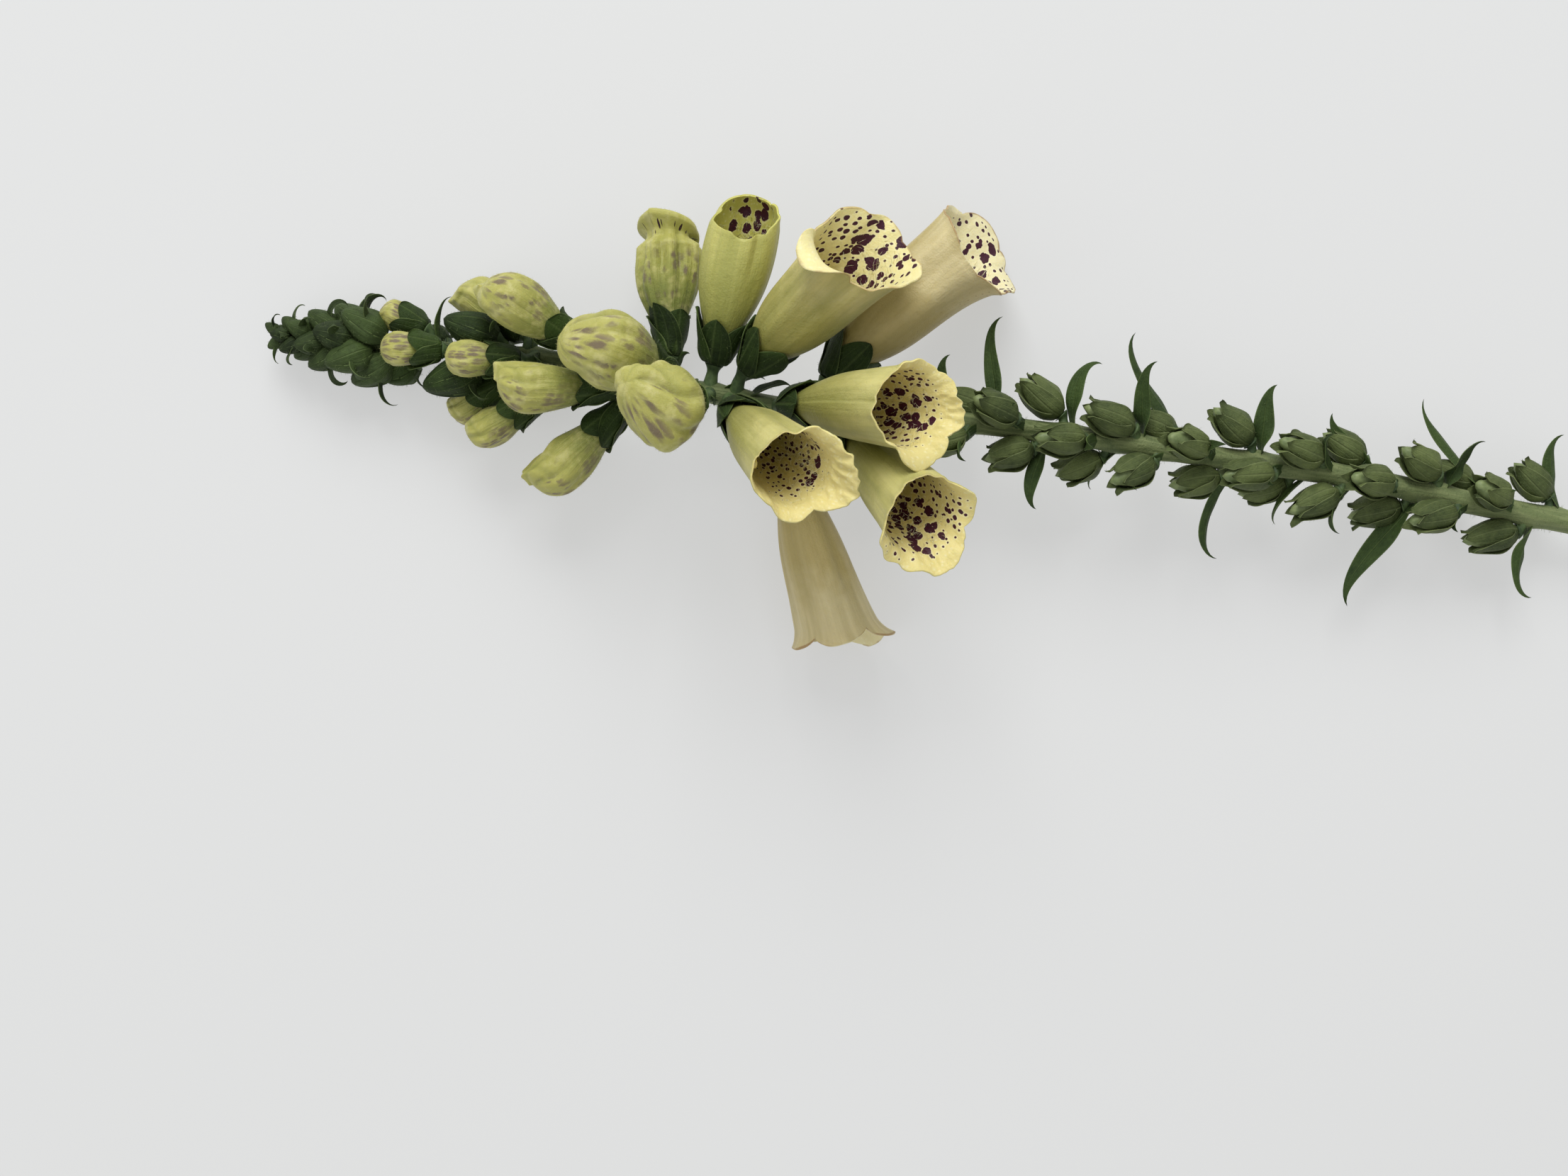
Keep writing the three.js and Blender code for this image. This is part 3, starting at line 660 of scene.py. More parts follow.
def stalk(flower, thick):
    """Stalk from the stem's axis out to the knee and on to the floor of the calyx, as a cubic curve,
    thicker at both ends."""
    origin, axes = seat(flower)
    start, _, out, _ = stem_at(flower["x"], flower["az"])
    knee = start + out * (stem_radius(flower["x"]) + 0.6 * flower["pedicel"])
    end = origin + axes[2] * 0.5
    w = np.linspace(0, 1, 14)[:, None]
    route = start * (1 - w) ** 3 + 3 * knee * w * (1 - w) ** 2
    route = route + 3 * (end - axes[2] * 0.6) * w**2 * (1 - w) + end * w**3
    radii = thick + 0.9 * smooth(w, 0.45, 1) + 0.5 * (1 - smooth(w, 0, 0.5))
    return tube(route, radii[:, 0], 14)


def sepal(flower, index, length, width, inside, bulge, flare, blunt, seed):
    """One sepal of five: an ovate blade that hugs what it holds, with one edge over its neighbour,
    a keel along its middle and a tip that turns out."""
    draw = np.random.default_rng(seed * 5 + index)
    centre = np.radians(36 + 72 * index + draw.uniform(-5, 5))
    length = length * draw.uniform(0.9, 1.08)
    s = np.sin(np.linspace(0, np.pi / 2, 22))[:, None]
    half = 0.5 * width * (1 - s) ** (1 - blunt) * (0.85 + (1.35 - blunt) * s) + 0.02
    tip = flare * draw.uniform(0.5, 1.3)

    def mid(t):
        along = length * s - 0.3 * (t * t) * half * s
        hug = inside(along) + SEPAL_GAP + bulge * np.sin(np.pi * s) + tip * s**4
        hug = hug - 0.6 * (1 - smooth(s, 0, 0.15))
        lap = 0.4 * t * smooth(s, 0, 0.3)
        wave = (0.2 * np.sin(9 * s + index) + 0.35 * smooth(s, 0.1, 0.5)) * t**4
        radius = hug + lap + wave + 0.3 * hump(t, 0, 0.16) * (1 - s)
        return rings(centre + t * half / np.maximum(radius, 1.2), radius, along)

    def face(t):
        return rings(centre + t * half / 5, 1, 0)

    blade = leaf_skin(mid, face, half, SEPAL_THICK, length * s, draw.uniform(-1, 1))
    return placed(flower, blade)


def calyx(flower, **form):
    """The five sepals round a flower."""
    return [sepal(flower, index, **form) for index in range(5)]


def bell_calyx(bell, seed):
    """Calyx of an open bell, round the neck of its corolla."""
    return calyx(bell, length=11.5, width=10.5, bulge=0.9, flare=0.4, blunt=0.5, seed=seed,
                 inside=lambda along: bell_radius(bell, (along - BUD_BASE) / bell["tube"]))


def bud_calyx(bud, seed):
    """Calyx of a bud: the smaller the bud, the more of it is covered."""
    length = 5 + 0.2 * bud["length"]
    span = bud["length"] - BUD_BASE
    return calyx(bud, length=length, width=0.65 * length + 0.75 * bud["radius"],
                 bulge=0.3, flare=0.1, blunt=0.62, seed=seed,
                 inside=lambda along: bud_radius(bud, np.clip((along - BUD_BASE) / span, 0, 0.7)))


def pod_radius(pod, share):
    """Egg whose widest place is below its middle: a half circle that narrows to its tip."""
    form = np.sqrt(np.clip(share * (1 - share) * 4, 0, 1)) * (1.12 - 0.42 * share)
    return pod["radius"] * 0.86 * form


def pod_calyx(pod, seed):
    """Sepals that stand round a capsule, longer than it, with spread tips."""
    def inside(along):
        share = np.clip((along - 1) / (pod["length"] - 1), 0, 1)
        return np.maximum(1.3, pod_radius(pod, share))

    return calyx(pod, length=pod["length"] * 1.05, width=7.0, inside=inside, bulge=0.0, flare=0.9,
                 blunt=0.3, seed=seed)


def capsule(pod):
    """Ripening capsule: an egg with a groove between its two halves and a thread at its tip."""
    turn = np.linspace(0, 2 * np.pi, 37)
    share = np.linspace(0, 1, 22)[:, None]
    groove = 1 - 0.09 * (np.cos(turn) ** 8)
    thread = 0.35 * smooth(share, 0.9, 0.99) * (share < 1)
    along = 1 + (pod["length"] - 1) * share + 1.2 * smooth(share, 0.93, 1.0)
    points = rings(turn, pod_radius(pod, share) * groove + thread, along)
    return placed(pod, skin(points, stack(turn / 25, share / 10)))


def closed_calyx(flower, seed):
    """Green bud: five sepals that close in a point, each with a raised edge over the next one and a
    low keel, on a form between an ellipse and a cone."""
    draw = np.random.default_rng(seed)
    turn = np.linspace(0, 2 * np.pi, 61)
    share = np.linspace(0, 1, 26)[:, None]
    round_end = np.sqrt(np.clip(1 - np.maximum(0, (share - 0.35) / 0.65) ** 2, 0, 1))
    form = smooth(share, -0.3, 0.42) * (0.55 * round_end + 0.45 * (1 - share**2.2))
    form = form * (share < 1)
    twist = turn + 0.2 * share + draw.uniform(0, 6)
    across = (twist * 5 / (2 * np.pi)) % 1
    lap = 0.13 * smooth(across, 0, 0.9) * (1 - smooth(across, 0.9, 1)) * form
    keel = 0.1 * hump(across, 0.5, 0.1) * (1 - share) * form
    along = flower["length"] * share * 1.02 - 0.4
    uv = stack(turn * flower["radius"] / MAP_SIZE, along / MAP_SIZE)
    return placed(flower, skin(rings(turn, flower["radius"] * (form + lap + keel), along), uv,
                               across=2 * across - 1, along=share * 0.9, tone=draw.uniform(-1, 1)))


def bract(x, az, below, length, width, lean, curl, twist, seed):
    """Narrow blade, folded along its rib, that leaves the stem below a flower and curls back: its
    heading turns by curl times the square of the share of its length, and hooks at its tip."""
    draw = np.random.default_rng(BRACT_SEED + seed)
    point, tipward, out, side = stem_at(x + below, az)
    s = np.linspace(0, 1, 26)[:, None]
    angle = np.radians(lean + curl * s**2 + 60 * s**8)
    heading = tipward * np.cos(angle) + out * np.sin(angle)
    face = tipward * np.sin(angle) - out * np.cos(angle)
    steps = (heading[1:] + heading[:-1]) / 2 * length / (len(s) - 1)
    start = point + out * (stem_radius(x + below) - 0.9)
    route = start + np.vstack([np.zeros(3), np.cumsum(steps, axis=0)])
    turn = np.radians(twist * smooth(s, 0, 0.45))
    across = side * np.cos(turn) - face * np.sin(turn)
    face = face * np.cos(turn) + side * np.sin(turn)
    half = 0.5 * width * (0.5 * (1 - s) + 2.1 * s * (1 - s) ** 1.25) / 0.79 + 0.04
    phase = draw.uniform(0, 6)

    def mid(t):
        fold = 0.32 * np.abs(t) * half
        wave = 0.22 * np.sin(11 * s + phase) * t**3 * smooth(half, 0, 1.5)
        return (route[:, None] + across[:, None] * (t * half)[..., None]
                + face[:, None] * (fold + wave)[..., None])

    return leaf_skin(mid, lambda t: face[:, None], half, BRACT_THICK, length * s, draw.uniform(-1, 1))


# ---- Hairs ----

BEARD_HAIRS = 150
FLOOR_GAP = 0.2


def hairs(roots, ways, lengths, thick, droop):
    """Hairs: three-sided spikes, bent once, that start along their ways and droop by a share."""
    count = len(roots)
    side = unit(np.cross(ways, rng.normal(size=(count, 3))))
    over = np.cross(ways, side)
    sag = unit(rng.normal(size=(count, 3)) * 0.6 + [0, 0, -0.4]) * droop
    corners, faces = [], []
    for share in (0, 0.55):
        middle = roots + (ways * share + sag * share**2) * lengths[:, None]
        wide = thick * (1 - 0.45 * share)
        for angle in 2 * np.pi * np.arange(3) / 3:
            corners.append(middle + (side * np.cos(angle) + over * np.sin(angle)) * wide)
    corners.append(roots + (ways + sag) * lengths[:, None])
    at = np.arange(count)[:, None] * len(corners)
    for n in range(3):
        m = (n + 1) % 3
        faces += [at + [n, m, 3 + m], at + [n, 3 + m, 3 + n], at + [3 + n, 3 + m, 6]]
    faces.append(at + [2, 1, 0])
    return np.stack(corners, 1).reshape(-1, 3), np.concatenate(faces)


def sampled(skins, density):
    """Points drawn evenly over the quads of skins, by area, with the way out at each of them."""
    whole = gather(skins)
    a, b, c, d = (whole["corners"][whole["quads"][:, n]] for n in range(4))
    normal = np.cross(c - a, d - b)
    area = np.linalg.norm(normal, axis=1) / 2
    count = int(area.sum() * density)
    pick = rng.choice(len(area), count, p=area / area.sum())
    u, v = rng.uniform(0, 1, (2, count, 1))
    points = (a[pick] * (1 - u) * (1 - v) + b[pick] * u * (1 - v)
              + c[pick] * u * v + d[pick] * (1 - u) * v)
    return points, unit(normal[pick])


def down(name, skins, density, length, thick, material, slot, *nodes):
    """Short hairs that stand on a piece, all leaning a little, where they clear the floor."""
    roots, ways = sampled(skins, density)
    ways = unit(ways + 0.5 * rng.normal(size=ways.shape))
    lengths = length * rng.uniform(0.5, 1.2, len(roots))
    clear = roots[:, 2] + (ways[:, 2] - 0.3) * lengths > FLOOR_GAP
    corners, faces = hairs(roots[clear], ways[clear], lengths[clear], thick, 0.25)
    make_piece(name, corners, [faces], material, slot, nodes)


def beard(bell, material):
    """Long pale hairs on the floor of a bell, that lean to its mouth."""
    turn = rng.normal(0, 0.5, BEARD_HAIRS)
    share = rng.uniform(0.5, 1, BEARD_HAIRS)
    roots = bell_wall(bell, turn, share, 0, PETAL)
    inwards = bell_wall(bell, turn, share, 0, PETAL + 1) - roots
    onwards = bell_wall(bell, turn, share + 0.02, 0, PETAL) - roots
    ways = unit(unit(inwards) + 0.7 * unit(onwards) + 0.35 * rng.normal(size=(BEARD_HAIRS, 3)))
    lengths = rng.uniform(1.4, 3.4, BEARD_HAIRS)
    corners, faces = hairs(place(bell, roots), ways @ seat(bell)[1], lengths, 0.05, 0.3)
    make_piece(bell["name"] + "_hairs", corners, [faces], material, bell_slot(bell), [bell["name"]])


def bell_slot(bell):
    """The record's material slot of a bell."""
    return "faded_cream" if bell["age"] == "faded" else "bell_cream"


# ---- Materials: sizes in millimetres ----

MAROON, HALO, FRECKLE, OLD_EDGE = "3b0a20", "f3efcf", "8a6a45", "9a7748"
BUD_GREEN, BUD_YELLOW, BUD_CREAM, BUD_VEIN = "78813e", "adaa5a", "ccc687", "8a9040"
# The buds' crease colour is painted shade for their creases and pleats.
SMUDGE, CREASE_SHADE, DASH = "6c5a50", "7d8238", "2b0617"
STEM_GREEN, STEM_PALE, STREAK, STEM_DARK, PITH = "4c5a2e", "6a7748", "8b9462", "485836", "c9cf9f"


def tint(code):
    """Linear colour of a hex code: the sRGB curve undone."""
    channels = np.array([int(code[i:i + 2], 16) for i in (0, 2, 4)]) / 255
    linear = np.where(channels > 0.04045, ((channels + 0.055) / 1.055) ** 2.4, channels / 12.92)
    return (*linear, 1.0)


class Graph:
    """Short words for the nodes of one tree."""

    def __init__(self, tree):
        self.tree = tree

    def add(self, kind, *feeds, out=0, **settings):
        node = self.tree.nodes.new("ShaderNode" + kind)
        for key, value in settings.items():
            setattr(node, key, value)
        for number, value in enumerate(feeds):
            if value is not None:
                self.feed(node.inputs[number], value)
        return node.outputs[out]

    def feed(self, socket, value):
        """Links a socket, or sets it to a number, a vector or the colour of a hex code."""
        if isinstance(value, bpy.types.NodeSocket):
            self.tree.links.new(value, socket)
        else:
            socket.default_value = tint(value) if isinstance(value, str) else value

    def math(self, operation, a, b=0.5, c=0.5, clamp=False):
        return self.add("Math", a, b, c, operation=operation, use_clamp=clamp)

    def plus(self, a, b):
        return self.math("ADD", a, b)

    def times(self, a, b):
        return self.math("MULTIPLY", a, b)

    def step(self, value, low, high, start=0.0, end=1.0):
        return self.add("MapRange", value, low, high, start, end, interpolation_type="SMOOTHSTEP")

    def mix(self, share, a, b):
        node = self.tree.nodes.new("ShaderNodeMix")
        node.data_type = "RGBA"
        for number, value in ((0, share), (6, a), (7, b)):
            self.feed(node.inputs[number], value)
        return node.outputs[2]

    def mark(self, name):
        return self.add("Attribute", attribute_name=name, out=2)

    def scaled(self, vector, x, y, z):
        return self.add("VectorMath", vector, (x, y, z), operation="MULTIPLY")

    def millimetres(self):
        """Object coordinates in millimetres."""
        return self.scaled(self.add("TexCoord", out=3), 1000, 1000, 1000)

    def skin_place(self):
        """The piece's own map in millimetres: round it, and along it."""
        return self.scaled(self.add("UVMap", uv_map="skin"), MAP_SIZE, MAP_SIZE, MAP_SIZE)

    def cells(self, place, ragged, shake, across, along, randomness, smallest, spread):
        """Cells on a map, with edges that a noise shakes: a drawn radius for each cell, the distance
        from its middle, and one more draw."""
        shaken = self.add("VectorMath", self.scaled(ragged, shake, shake, 0), place, operation="ADD")
        cell = self.add("TexVoronoi", self.scaled(shaken, across, along, 0), None, 1.0,
                        voronoi_dimensions="2D").node
        cell.inputs["Randomness"].default_value = randomness
        draws = self.add("SeparateColor", cell.outputs["Color"]).node.outputs
        radius = self.math("MULTIPLY_ADD", draws[0], spread, smallest)
        return radius, cell.outputs["Distance"], draws[1]

    def group(self, tree, **feeds):
        node = self.tree.nodes.new("ShaderNodeGroup")
        node.node_tree = tree
        for key, value in feeds.items():
            self.feed(node.inputs[key], value)
        return node.outputs

    def clouds(self, place, size):
        return self.group(MOTTLING, Place=place, Size=size)["Value"]

    def streaks(self, place, size):
        return self.group(STREAKS, Place=place, Size=size)["Value"]


def group_tree(name, inputs, outputs):
    """Empty shader node group, with its graph, its inputs by name and the node of its outputs."""
    tree = bpy.data.node_groups.new(name, "ShaderNodeTree")
    for way, sockets in (("INPUT", inputs), ("OUTPUT", outputs)):
        for label, kind in sockets.items():
            tree.interface.new_socket(label, in_out=way, socket_type="NodeSocket" + kind)
    ins = tree.nodes.new("NodeGroupInput").outputs
    return tree, Graph(tree), ins, tree.nodes.new("NodeGroupOutput").inputs


SIZED_PLACE = dict(Place="Vector", Size="Float")


def mottling_group():
    """Cloudy variation of a surface: two sizes of noise, about 0 at the middle of their range."""
    tree, g, ins, outs = group_tree("mottling", SIZED_PLACE, dict(Value="Float"))
    scale = g.math("DIVIDE", 1.0, ins["Size"])
    wide = g.add("TexNoise", ins["Place"], None, scale)
    fine = g.add("TexNoise", ins["Place"], None, g.times(scale, 4.0))
    both = g.math("MULTIPLY_ADD", fine, 0.5, wide)
    g.feed(outs["Value"], g.math("SUBTRACT", both, 0.75))
    return tree


def streaks_group():
    """Fine veins along a closed surface: noise on the cylinder that its map unrolls, drawn out
    along it, so that it meets itself at the seam."""
    tree, g, ins, outs = group_tree("streaks", SIZED_PLACE, dict(Value="Float"))
    scale = g.math("DIVIDE", 1.0, ins["Size"])
    parts = g.add("SeparateXYZ", ins["Place"]).node.outputs
    turn = g.math("MULTIPLY_ADD", parts[0], 1 / RING_SCALE, -0.5 * MAP_SIZE / RING_SCALE)
    x = g.times(g.math("COSINE", turn), RING_SCALE)
    y = g.times(g.math("SINE", turn), RING_SCALE)
    drawn = g.add("CombineXYZ", x, y, g.times(parts[1], 0.08))
    g.feed(outs["Value"], g.step(g.add("TexNoise", drawn, None, scale, 3.0), 0.3, 0.7))
    return tree


def spots_group():
    """Maroon markings: cells with a drawn radius each. Small dots, drawn out along the tube, and
    wide blotches with ragged edges, both inside their own zones, and a pale halo round them."""
    tree, g, ins, outs = group_tree(
        "spots", dict(Place="Vector", Dots="Float", Blots="Float"), dict(Spots="Float", Halo="Float"))
    ragged = g.add("TexNoise", ins["Place"], None, 0.7, 2.0, out=1)
    ragged = g.add("VectorMath", ragged, (0.5, 0.5, 0.5), operation="SUBTRACT")

    def spots(zone, wide, long, shake, smallest, spread, kept):
        """How far a place is inside the spot of its cell. A share of the cells is kept, and the
        spots are smaller where the zone fades out."""
        radius, distance, draw = g.cells(ins["Place"], ragged, shake, 1 / wide, 1 / long, 0.8,
                                         smallest, spread)
        radius = g.times(radius, g.math("GREATER_THAN", draw, 1 - kept))
        radius = g.times(radius, g.math("POWER", zone, 0.6))
        return g.math("SUBTRACT", radius, distance)

    blots = spots(ins["Blots"], 2.8, 3.3, 1.5, 0.29, 0.2, 0.75)
    clear = g.math("SUBTRACT", 1.0, g.step(ins["Blots"], 0.1, 0.9, 0.0, 0.45))
    dots = spots(g.times(ins["Dots"], clear), 1.65, 1.9, 0.5, 0.2, 0.19, 0.85)
    g.feed(outs["Spots"], g.math("MAXIMUM", g.step(dots, -0.02, 0.05), g.step(blots, -0.01, 0.03)))
    g.feed(outs["Halo"], g.math("MAXIMUM", g.step(dots, -0.25, 0.0), g.step(blots, -0.14, 0.0)))
    return tree


MOTTLING, STREAKS, SPOTS = mottling_group(), streaks_group(), spots_group()


def finish(name, roughness, subsurface=0.0, sheen=0.0, specular=0.35):
    """Material with a plain shader, whose unchanging values are set on its own sockets."""
    material = bpy.data.materials.new(name)
    material.use_nodes = True
    sockets = material.node_tree.nodes["Principled BSDF"].inputs
    for label, value in (
        ("Roughness", roughness), ("Specular IOR Level", specular), ("Subsurface Weight", subsurface),
        ("Subsurface Radius", (1.0, 0.8, 0.35)), ("Subsurface Scale", 0.0012),
        ("Sheen Weight", sheen), ("Sheen Roughness", 0.5),
    ):
        sockets[label].default_value = value
    return material, Graph(material.node_tree), sockets


def dress(g, sockets, colour, height, distance):
    """Sets a finish's colour, and its bump: a height, and the distance that a height of 1 stands."""
    bump = g.add("Bump", 1.0, distance).node
    g.feed(bump.inputs["Height"], height)
    g.feed(sockets["Normal"], bump.outputs[0])
    g.feed(sockets["Base Color"], colour)


def petal_finish(name, base, middle, rim, deep, lip, brown, freckles):
    """Petal: its outside runs from the base's colour to the rim's, its inside from the deep colour
    to the lip's with maroon markings, and its edge browns with age. The outside is olive in its own
    colour, and darker than the lip, most at the base, by painted shade; the deep colour inside is
    darker by painted shade in the tube."""
    material, g, sockets = finish(name, 0.5, subsurface=0.25, sheen=0.03)
    place, body = g.skin_place(), g.millimetres()
    cloud = g.clouds(body, 9.0)
    veins = g.streaks(place, 1.1)
    along = g.plus(g.mark("share"), g.times(cloud, 0.35))
    # Darker toward the base: the petal's own greener olive, with painted shade by the calyx.
    outer = g.mix(g.step(along, 0.05, 0.5), base, middle)
    outer = g.mix(g.step(along, 0.55, 1.0), outer, rim)
    outer = g.mix(g.times(g.streaks(place, 3.6), 0.45), outer, base)
    outer = g.mix(g.times(veins, 0.14), outer, base)
    freckle = g.group(SPOTS, Place=place, Dots=g.times(g.mark("lower"), freckles), Blots=0.0)
    outer = g.mix(g.times(freckle["Spots"], 0.55), outer, FRECKLE)
    marks = g.group(SPOTS, Place=place, Dots=g.mark("dots"), Blots=g.mark("blots"))
    # Darker deep in the tube: painted shade inside the bell, on the throat's own greenish tone.
    within = g.mix(g.step(along, 0.35, 0.95), deep, lip)
    within = g.mix(g.times(marks["Halo"], 0.3), within, HALO)
    within = g.mix(marks["Spots"], within, MAROON)
    colour = g.mix(g.mark("inner"), outer, within)
    old = g.times(g.step(g.plus(g.mark("edge"), cloud), 0.75, 1.1), brown)
    ribs = g.plus(g.times(veins, 0.3), g.clouds(body, 1.6))
    dress(g, sockets, g.mix(old, colour, OLD_EDGE), ribs, 0.00016)
    return material


def bud_finish():
    """Closed petals: yellow-green, greener at the base, with mauve smudges of the markings inside,
    painted shade in the creases and pleats, and dark dashes under the cap of an opening bud."""
    material, g, sockets = finish("bud_skin", 0.5, subsurface=0.25, sheen=0.08)
    place, body = g.skin_place(), g.millimetres()
    share = g.mark("share")
    cloud = g.clouds(body, 5.0)
    veins = g.times(g.streaks(place, 1.0), g.step(share, 0.9, 0.6))
    along = g.plus(share, g.times(cloud, 0.4))
    colour = g.mix(g.step(along, 0.2, 0.75), BUD_GREEN, BUD_YELLOW)
    colour = g.mix(g.step(cloud, -0.05, 0.3, 0.0, 0.6), colour, BUD_CREAM)
    colour = g.mix(g.times(veins, 0.18), colour, BUD_VEIN)
    ragged = g.add("TexNoise", place, None, 0.8, 2.0, out=1)
    radius, distance, draw = g.cells(place, ragged, 1.4, 0.45, 0.33, 1.0, 0.14, 0.36)
    smudge = g.step(g.math("SUBTRACT", radius, distance), -0.2, 0.2)
    patch = g.add("TexNoise", g.scaled(place, 0.12, 0.09, 0), None, 1.0, 1.0)
    smudge = g.times(smudge, g.math("GREATER_THAN", draw, 0.25))
    smudge = g.times(smudge, g.step(patch, 0.36, 0.56))
    smudge = g.times(smudge, g.mark("smudge"))
    colour = g.mix(g.times(smudge, 0.85), colour, SMUDGE)
    # Painted shade: the creases between the lobes and the pleats are darkened in the colour.
    colour = g.mix(g.times(g.mark("crease"), 0.3), colour, CREASE_SHADE)
    dashes = g.group(SPOTS, Place=place, Dots=g.mark("dash"), Blots=0.0)["Spots"]
    dress(g, sockets, g.mix(dashes, colour, DASH), g.plus(veins, g.clouds(body, 1.2)), 0.00012)
    return material


def leaf_finish(name, dark, light, edge):
    """Blade: a pale rib and margin, veins that run along it and spread a little, and cloudy green."""
    material, g, sockets = finish(name, 0.58, specular=0.2)
    body = g.millimetres()
    across, along = g.math("ABSOLUTE", g.mark("across")), g.mark("along")
    level = g.math("MULTIPLY_ADD", g.mark("tone"), 0.3, 0.5)
    level = g.math("ADD", level, g.clouds(body, 4.0), clamp=True)
    colour = g.mix(level, dark, light)
    spread = g.math("MULTIPLY_ADD", across, 19.0, g.times(along, -1.6))
    side = g.step(g.math("COSINE", spread), 0.7, 1.0)
    veins = g.math("MAXIMUM", g.step(across, 0.1, 0.02), g.times(side, 0.5))
    colour = g.mix(g.times(veins, 0.18), colour, edge)
    colour = g.mix(g.times(g.step(across, 0.88, 0.99), 0.6), colour, edge)
    dress(g, sockets, colour, g.math("MULTIPLY_ADD", veins, -0.8, g.clouds(body, 0.5)), 0.00018)
    return material


def stem_finish():
    """Stem: drawn-out green streaks, paler to the cut end, with a pale pith at the cut."""
    material, g, sockets = finish("stem_skin", 0.6, sheen=0.1)
    body = g.millimetres()
    streaks = g.add("TexNoise", g.scaled(body, 0.05, 1.3, 1.3), None, 1.0, 3.0)
    colour = g.mix(g.step(g.mark("along"), 0.25, 0.8), STEM_GREEN, STEM_PALE)
    colour = g.mix(g.step(streaks, 0.35, 0.7, 0.0, 0.6), colour, STREAK)
    colour = g.mix(g.step(g.clouds(body, 7.0), 0.0, 0.35, 0.0, 0.5), colour, STEM_DARK)
    colour = g.mix(g.mark("cut"), colour, PITH)
    dress(g, sockets, colour, g.plus(streaks, g.clouds(body, 0.6)), 0.0002)
    return material


def plain_finish(name, low, high, roughness, size):
    """Finish of a small piece: two close colours in clouds of a size, with a bump to match."""
    material, g, sockets = finish(name, roughness)
    cloud = g.clouds(g.millimetres(), size)
    dress(g, sockets, g.mix(g.step(cloud, -0.25, 0.25), low, high), cloud, 0.0001)
    return material


LEAF = leaf_finish("sepal_green", "1a280d", "3a4e1e", "72834c")
BRACT = leaf_finish("bract_green", "243518", "465a2b", "72834c")
TIP_GREEN = leaf_finish("tip_green", "212d16", "485a2e", "7c8c58")
POD_GREEN = leaf_finish("pod_green", "394525", "687443", "8c9666")
STEM = stem_finish()
STALK = plain_finish("stalk_green", "35482a", "586c40", 0.6, 4.0)
BUD = bud_finish()
# The petals of bells by age: base, middle, rim, deep inside and lip, browning and freckles.
# # The base, middle and rim hold painted shade on the outside of the tube, most at the base, and
# # the deep inside colour holds painted shade in the tube.
PETALS = {
    age: petal_finish("petal_" + age, *look)
    for age, look in {
        "young": ("8c9044", "b0ae60", "c4c070", "a9a94c", "c6c468", 0.0, 0.0),
        "fresh": ("7b7d36", "a29c56", "ccc47e", "b0a862", "ddcf8a", 0.0, 0.5),
        "ripe": ("777932", "aaa25c", "cfc486", "b6ac6c", "e8dda0", 0.55, 0.7),
        "faded": ("958649", "bfae76", "d9cc9e", "cdc28e", "e6dcae", 0.8, 0.9),
    }.items()
}
CAPSULE = plain_finish("capsule", "66754a", "828f5e", 0.5, 3.0)
ANTHER = plain_finish("anther", "d9c76a", "efe2a0", 0.6, 0.8)
PISTIL = plain_finish("style", "a9b878", "d6dba4", 0.5, 1.5)
DOWN = plain_finish("down", "5c6b44", "8a986a", 0.6, 3.0)
BUD_HAIR = plain_finish("bud_hair", "b3b166", "cfcc90", 0.6, 3.0)
PALE_HAIR = plain_finish("pale_hair", "e2dcb4", "f2eed2", 0.5, 3.0)

# ---- Assembly ----

stem = [stem_skin()]
stalks = [stalk(f, 1.3) for f in BUDS + BELLS] + [stalk(f, 1.0) for f in GREEN_BUDS + pods]
tip_calyces = [closed_calyx(f, 40 + n) for n, f in enumerate(tips)]
green_calyces = [closed_calyx(f, 80 + n) for n, f in enumerate(GREEN_BUDS)]
calyces = [s for n, f in enumerate(BELLS) for s in bell_calyx(f, n)]
calyces += [s for n, f in enumerate(BUDS) for s in bud_calyx(f, 10 + n)]
pod_calyces = [s for n, f in enumerate(pods) for s in pod_calyx(f, 30 + n)]

tip_bracts = [
    bract(f["x"], f["az"], 0.6, f["leaf"], 0.26 * f["length"] + 0.7, 58, 105 + 40 * np.sin(5 * k),
          50 * np.sin(3 * k), k)
    for k, f in enumerate(tips + GREEN_BUDS)
]
bud_bracts = [
    bract(f["x"], f["az"], 1.5, f["leaf"], 3.6, 85, 70 + 30 * np.sin(5 * k),
          40 * np.sin(3 * k), 40 + k)
    for k, f in enumerate(BUDS)
]
bud_bracts += [
    bract(f["x"], f["az"], 3.5, 10, 4, 140, 25, 30 * np.sin(3 * k), 60 + k)
    for k, f in enumerate(BELLS)
]
pod_bracts = []
for k, f in enumerate(pods):
    tucked = (f["az"], 11 + 2 * np.sin(7 * k), 4.0, 44 + 12 * np.sin(5 * k),
              60 + 30 * np.sin(2 * k), 0)
    az, length, *form = CLEAR_BRACTS.get(k, tucked)
    pod_bracts.append(bract(f["x"], az, 2.4, 1.12 * length, *form, 80 + k))

for name, skins, material in (
    ("stem", stem, STEM),
    ("flower_stalks", stalks, STALK),
    ("tip_calyces", tip_calyces, TIP_GREEN),
    ("green_calyces", green_calyces, LEAF),
    ("tip_bracts", tip_bracts, TIP_GREEN),
    ("bud_bracts", bud_bracts, BRACT),
    ("pod_bracts", pod_bracts, BRACT),
    ("sepals", calyces, LEAF),
    ("pod_sepals", pod_calyces, POD_GREEN),
    ("capsules", [capsule(f) for f in pods], CAPSULE),
    ("styles", [pistil(f) for f in BELLS], PISTIL),
):
    skin_piece(name, skins, material, "leaf_green", "flower_stalk")

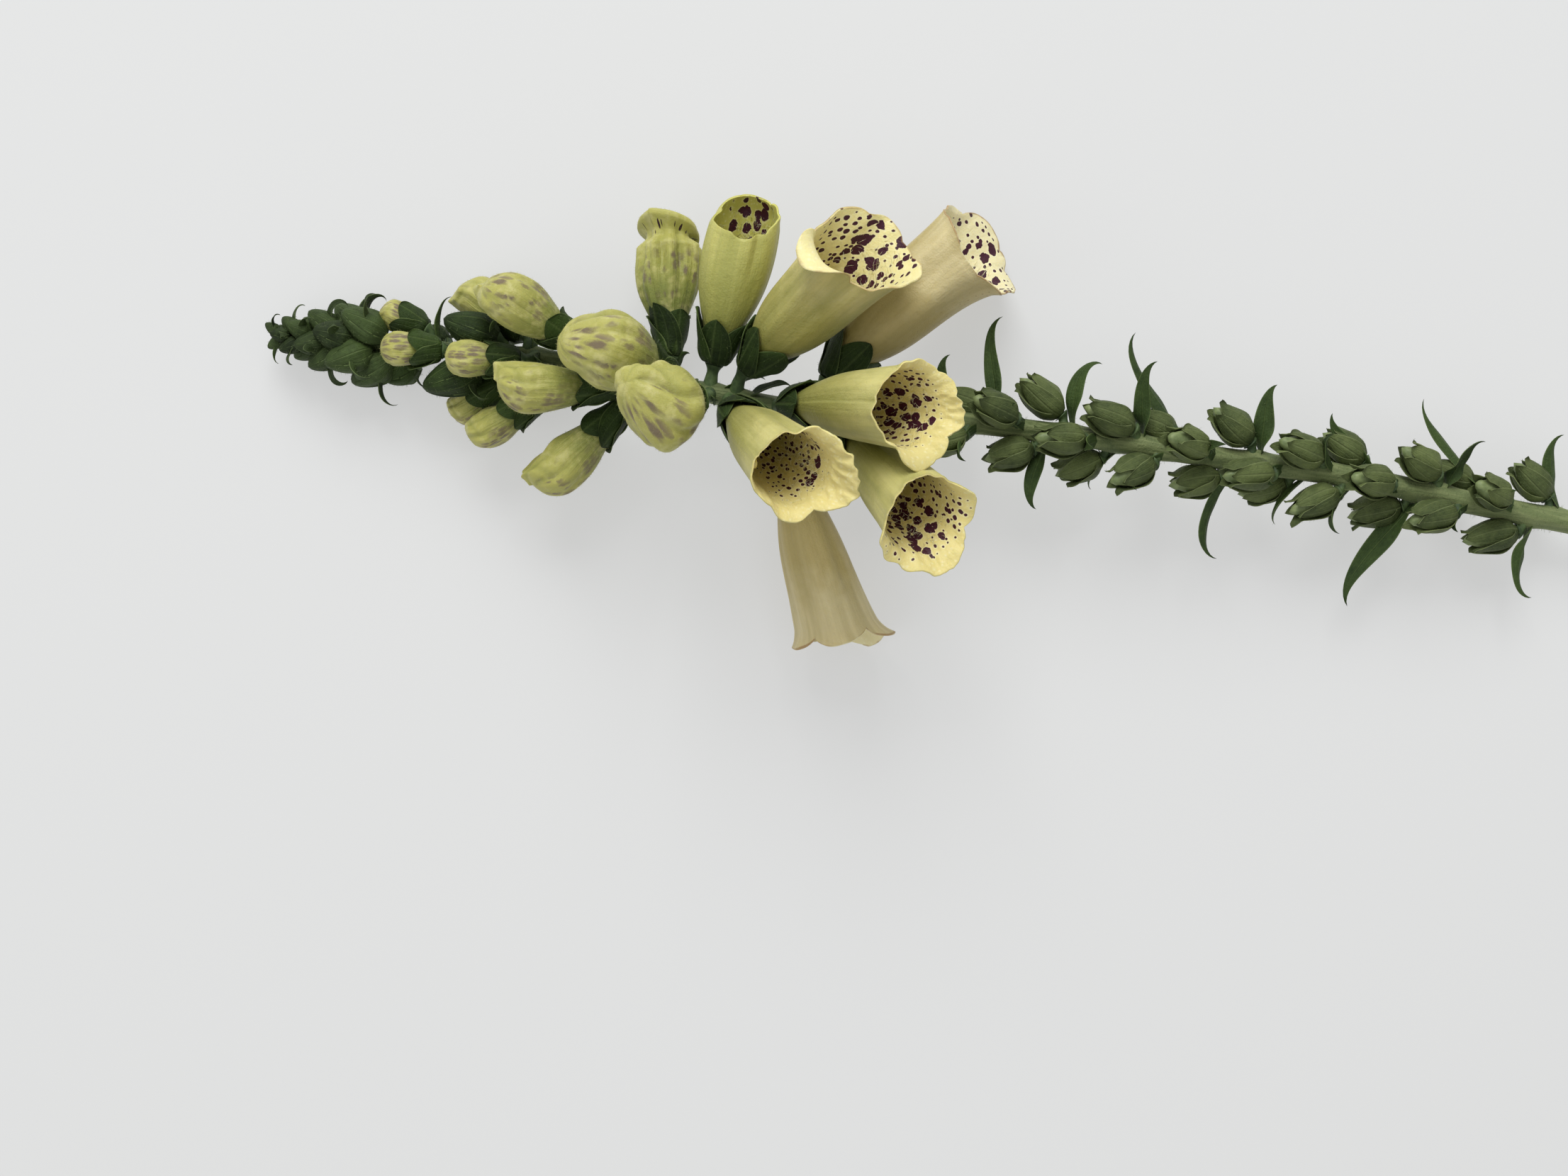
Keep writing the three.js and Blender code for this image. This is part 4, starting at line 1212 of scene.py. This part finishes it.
bud_skins = {}
for n, bud in enumerate(BUDS):
    name = f"bud_{n + 1:02d}"
    shape = opening_bud if bud is BUDS[-1] else closed_corolla
    bud_skins[name] = placed(bud, shape(bud, 20 + n))
    skin_piece(name + "_petals", [bud_skins[name]], BUD, "bud_yellow", name)

# The stamens of a bell: the angle from its upper side, and the length as a share of the tube.
STAMENS = ((-62, 0.62), (-24, 0.8), (24, 0.8), (62, 0.62))
for bell in BELLS:
    name, slot = bell["name"], bell_slot(bell)
    skin_piece(name + "_petals", [placed(bell, corolla(bell))], PETALS[bell["age"]], slot, name)
    threads = [placed(bell, s) for off, length in STAMENS for s in stamen(bell, off, length)]
    skin_piece(name + "_stamens", threads, ANTHER, slot, name)

for bell in BELLS:
    beard(bell, PALE_HAIR)

# Down on each piece: hairs on a square millimetre, their length and their radius at the root.
down("stem_down", stem, 0.45, 0.9, 0.03, DOWN, "leaf_green", "flower_stalk")
down("bud_down", list(bud_skins.values()), 1.2, 0.5, 0.018, BUD_HAIR, "bud_yellow", *bud_skins)
for name, skins, density, length, thick in (
    ("stalk_down", stalks + tip_calyces + green_calyces, 0.6, 0.7, 0.028),
    ("sepal_down", calyces, 0.35, 0.6, 0.026),
    ("bract_down", tip_bracts + bud_bracts + pod_bracts + pod_calyces, 0.25, 0.6, 0.026),
):
    down(name, skins, density, length, thick, DOWN, "leaf_green", "flower_stalk")

# ---- Floor, light and camera: metres ----

FLOOR = 3.0
PANEL_SIZE = 0.8
CAMERA_PLACE, CAMERA_TURN = (-0.0600, -0.0389, 0.508), 9.34

floor_mesh = bpy.data.meshes.new("floor")
corners = [(-FLOOR, -FLOOR, 0), (FLOOR, -FLOOR, 0), (FLOOR, FLOOR, 0), (-FLOOR, FLOOR, 0)]
floor_mesh.from_pydata(corners, [], [(0, 1, 2, 3)])
floor = add_object("floor", floor_mesh)
pale_floor, _, floor_sockets = finish("pale_floor", 0.85)
floor_sockets["Base Color"].default_value = tint("8f9090")
floor_sockets["Emission Color"].default_value = (1.0, 1.0, 0.99, 1)
floor_sockets["Emission Strength"].default_value = 0.46
floor_mesh.materials.append(pale_floor)


def panel(name, at, power):
    """Square soft light that faces the middle of the frame."""
    light = bpy.data.lights.new(name, "AREA")
    light.shape, light.size, light.energy = "SQUARE", PANEL_SIZE, power
    facing = (-Vector(at)).to_track_quat("-Z", "Y").to_matrix().to_4x4()
    add_object(name, light).matrix_world = Matrix.Translation(at) @ facing


panel("window", (-0.3, 0.95, 0.9), 14)
panel("fill", (-0.7, -0.5, 0.9), 2)

world = bpy.data.worlds.new("room")
world.use_nodes = True
background = world.node_tree.nodes["Background"].inputs
background["Color"].default_value = (0.975, 0.985, 1.0, 1)
background["Strength"].default_value = 0.52
bpy.context.scene.world = world
bpy.context.scene.view_settings.view_transform = "Standard"

camera_data = bpy.data.cameras.new("camera")
camera_data.lens, camera_data.sensor_width = 50, 36
camera = add_object("camera", camera_data)
camera_turn = Matrix.Rotation(np.radians(CAMERA_TURN), 4, "Z")
camera.matrix_world = Matrix.Translation(CAMERA_PLACE) @ camera_turn
bpy.context.scene.camera = camera
